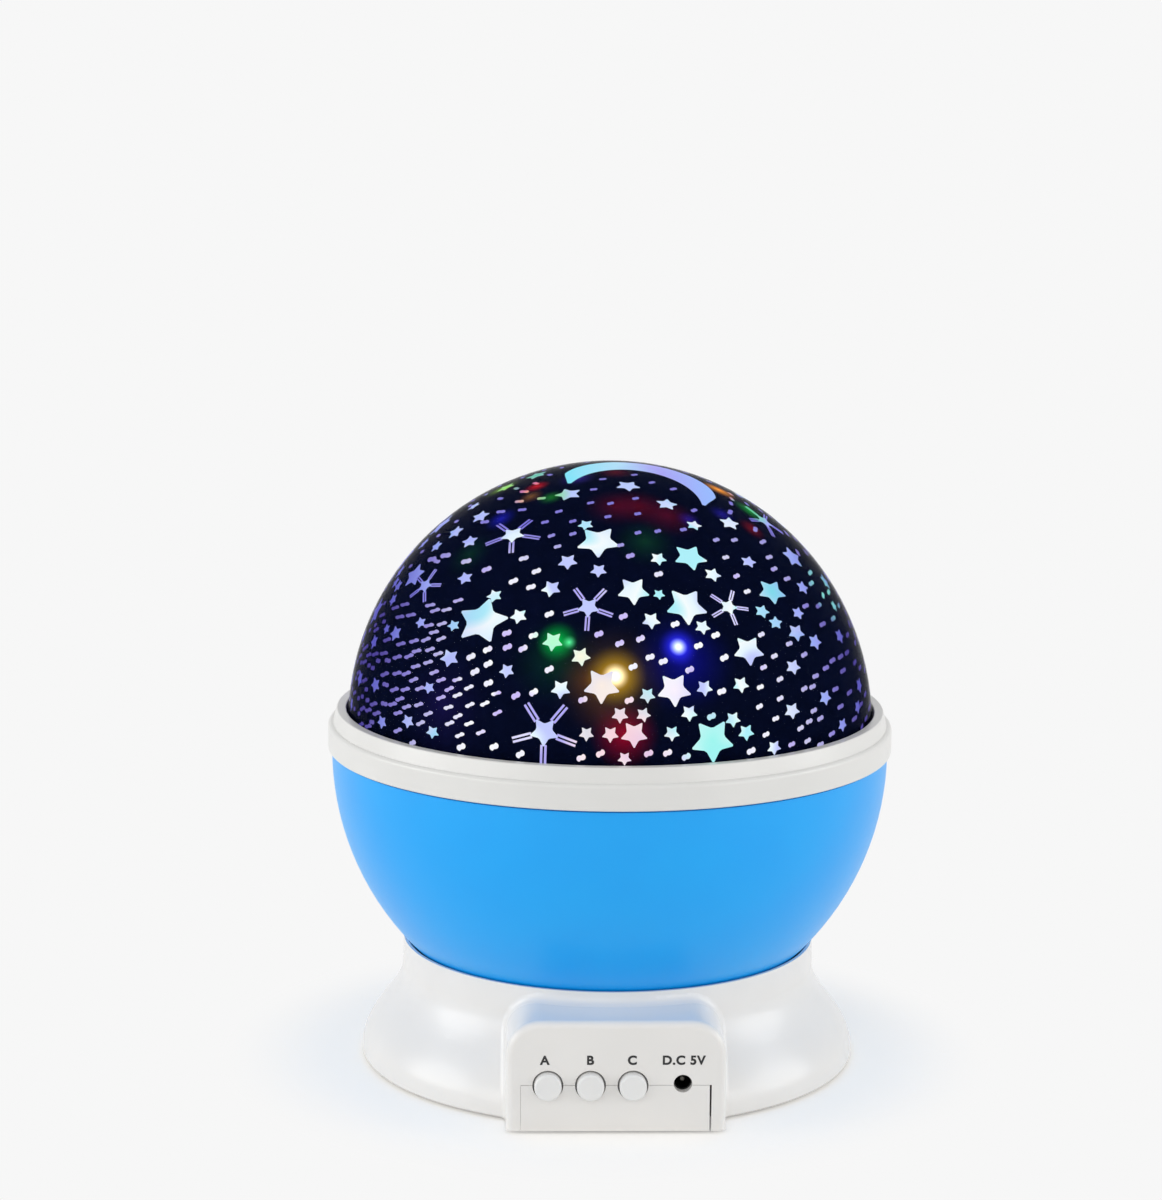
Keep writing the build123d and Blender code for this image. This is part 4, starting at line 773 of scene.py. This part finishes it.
# ---- studio ----
def seen_ray(holder):
    """1 for the rays that show the background itself, in a mirror or through glass too, and 0 for light."""
    rays = add(holder, "LightPath").outputs
    through = add(holder, "Math", {0: rays["Is Glossy Ray"], 1: rays["Is Transmission Ray"]},
                  operation="MAXIMUM")
    seen = add(holder, "Math", {0: rays["Is Camera Ray"], 1: through.outputs[0]}, operation="MAXIMUM")
    return seen.outputs[0]


def make_floor():
    """A wide pale table top that turns to plain white away from the object, with an upright edge."""
    bpy.ops.object.select_all(action="DESELECT")
    bpy.ops.mesh.primitive_circle_add(vertices=96, radius=FLOOR_R, fill_type="NGON")
    floor = bpy.context.object
    floor.name = "floor"
    bpy.ops.object.mode_set(mode="EDIT")
    bpy.ops.mesh.select_all(action="SELECT")
    bpy.ops.mesh.region_to_loop()
    bpy.ops.mesh.extrude_region_move(TRANSFORM_OT_translate={"value": (0, 0, FLOOR_EDGE)})
    bpy.ops.object.mode_set(mode="OBJECT")
    material = blank("pale_table_top")
    place = add(material, "TexCoord").outputs["Object"]
    grain = add(material, "TexNoise", {"Vector": place, "Scale": per_mm(60.0), "Detail": 2.0})
    tint = add(material, "ValToRGB", {"Fac": grain.outputs["Fac"]})
    tint.color_ramp.elements[0].color = linear("F5F3EF")
    tint.color_ramp.elements[1].color = linear("F9F7F3")
    far = add(material, "VectorMath", {0: place}, operation="LENGTH")
    fade = add(material, "MapRange", {
        "Value": far.outputs["Value"], "From Min": FLOOR_FADE[0], "From Max": FLOOR_FADE[1]},
        interpolation_type="SMOOTHSTEP")
    seen = seen_ray(material)
    whiter = add(material, "Math", {0: seen, 1: FLOOR_LIFT}, operation="MULTIPLY")
    plain = add(material, "Math", {0: seen, 1: fade.outputs["Result"]}, operation="MULTIPLY")
    table = add(material, "BsdfPrincipled", {
        "Base Color": tint.outputs["Color"], "Roughness": 0.6, "Emission Color": linear("F7F7F7"),
        "Emission Strength": whiter.outputs[0]})
    white = add(material, "Emission", {"Color": linear("F7F7F7"), "Strength": 1.0})
    mix = add(material, "MixShader", {0: plain.outputs[0], 1: table.outputs[0], 2: white.outputs[0]})
    finish_shader(material, mix)
    floor.data.materials.append(material)


def make_sun(name, around, above, spread, strength):
    """A soft light from far off: degrees around from the front, above the floor, and across the light."""
    data = bpy.data.lights.new(name, "SUN")
    data.angle = math.radians(spread)
    data.energy = strength
    light = bpy.data.objects.new(name, data)
    bpy.context.collection.objects.link(light)
    light.rotation_euler = (-on_dome(around, above, 1.0)).to_track_quat("-Z", "Y").to_euler()


def make_studio():
    """Soft even light: a plain pale world, two lights on either side and a weak one in front."""
    world = bpy.data.worlds.new("studio")
    world.use_nodes = True
    world.node_tree.nodes.clear()
    power = add(world, "Math", {0: seen_ray(world), 1: WORLD_SHOWN - WORLD_LIGHT, 2: WORLD_LIGHT},
                operation="MULTIPLY_ADD")
    back = add(world, "Background", {"Color": linear("FAFAFA"), "Strength": power.outputs[0]})
    add(world, "OutputWorld", {"Surface": back.outputs[0]})
    bpy.context.scene.world = world
    for light in LIGHTS:
        make_sun(*light)


def make_camera():
    """A long lens a little above the object, almost straight in front of the panel."""
    data = bpy.data.cameras.new("camera")
    data.sensor_width = CAMERA_SENSOR
    data.lens = CAMERA_LENS
    data.shift_x, data.shift_y = CAMERA_SHIFT
    data.clip_start = 0.01
    camera = bpy.data.objects.new("camera", data)
    bpy.context.collection.objects.link(camera)
    turn = Matrix.Rotation(math.radians(CAMERA_TURN), 4, "Z")
    tilt = Matrix.Rotation(math.radians(CAMERA_TILT), 4, "X")
    roll = Matrix.Rotation(math.radians(CAMERA_ROLL), 4, "Z")
    camera.matrix_world = Matrix.Translation(CAMERA_AT) @ turn @ tilt @ roll
    bpy.context.scene.camera = camera


bpy.context.scene.view_settings.view_transform = "Standard"
make_camera()
make_studio()
make_floor()
dress_nodes()
make_film()
moon = moon_master()
make_windows(moon)
wrapped("window_moon", [moon], moon_window())
make_labels()
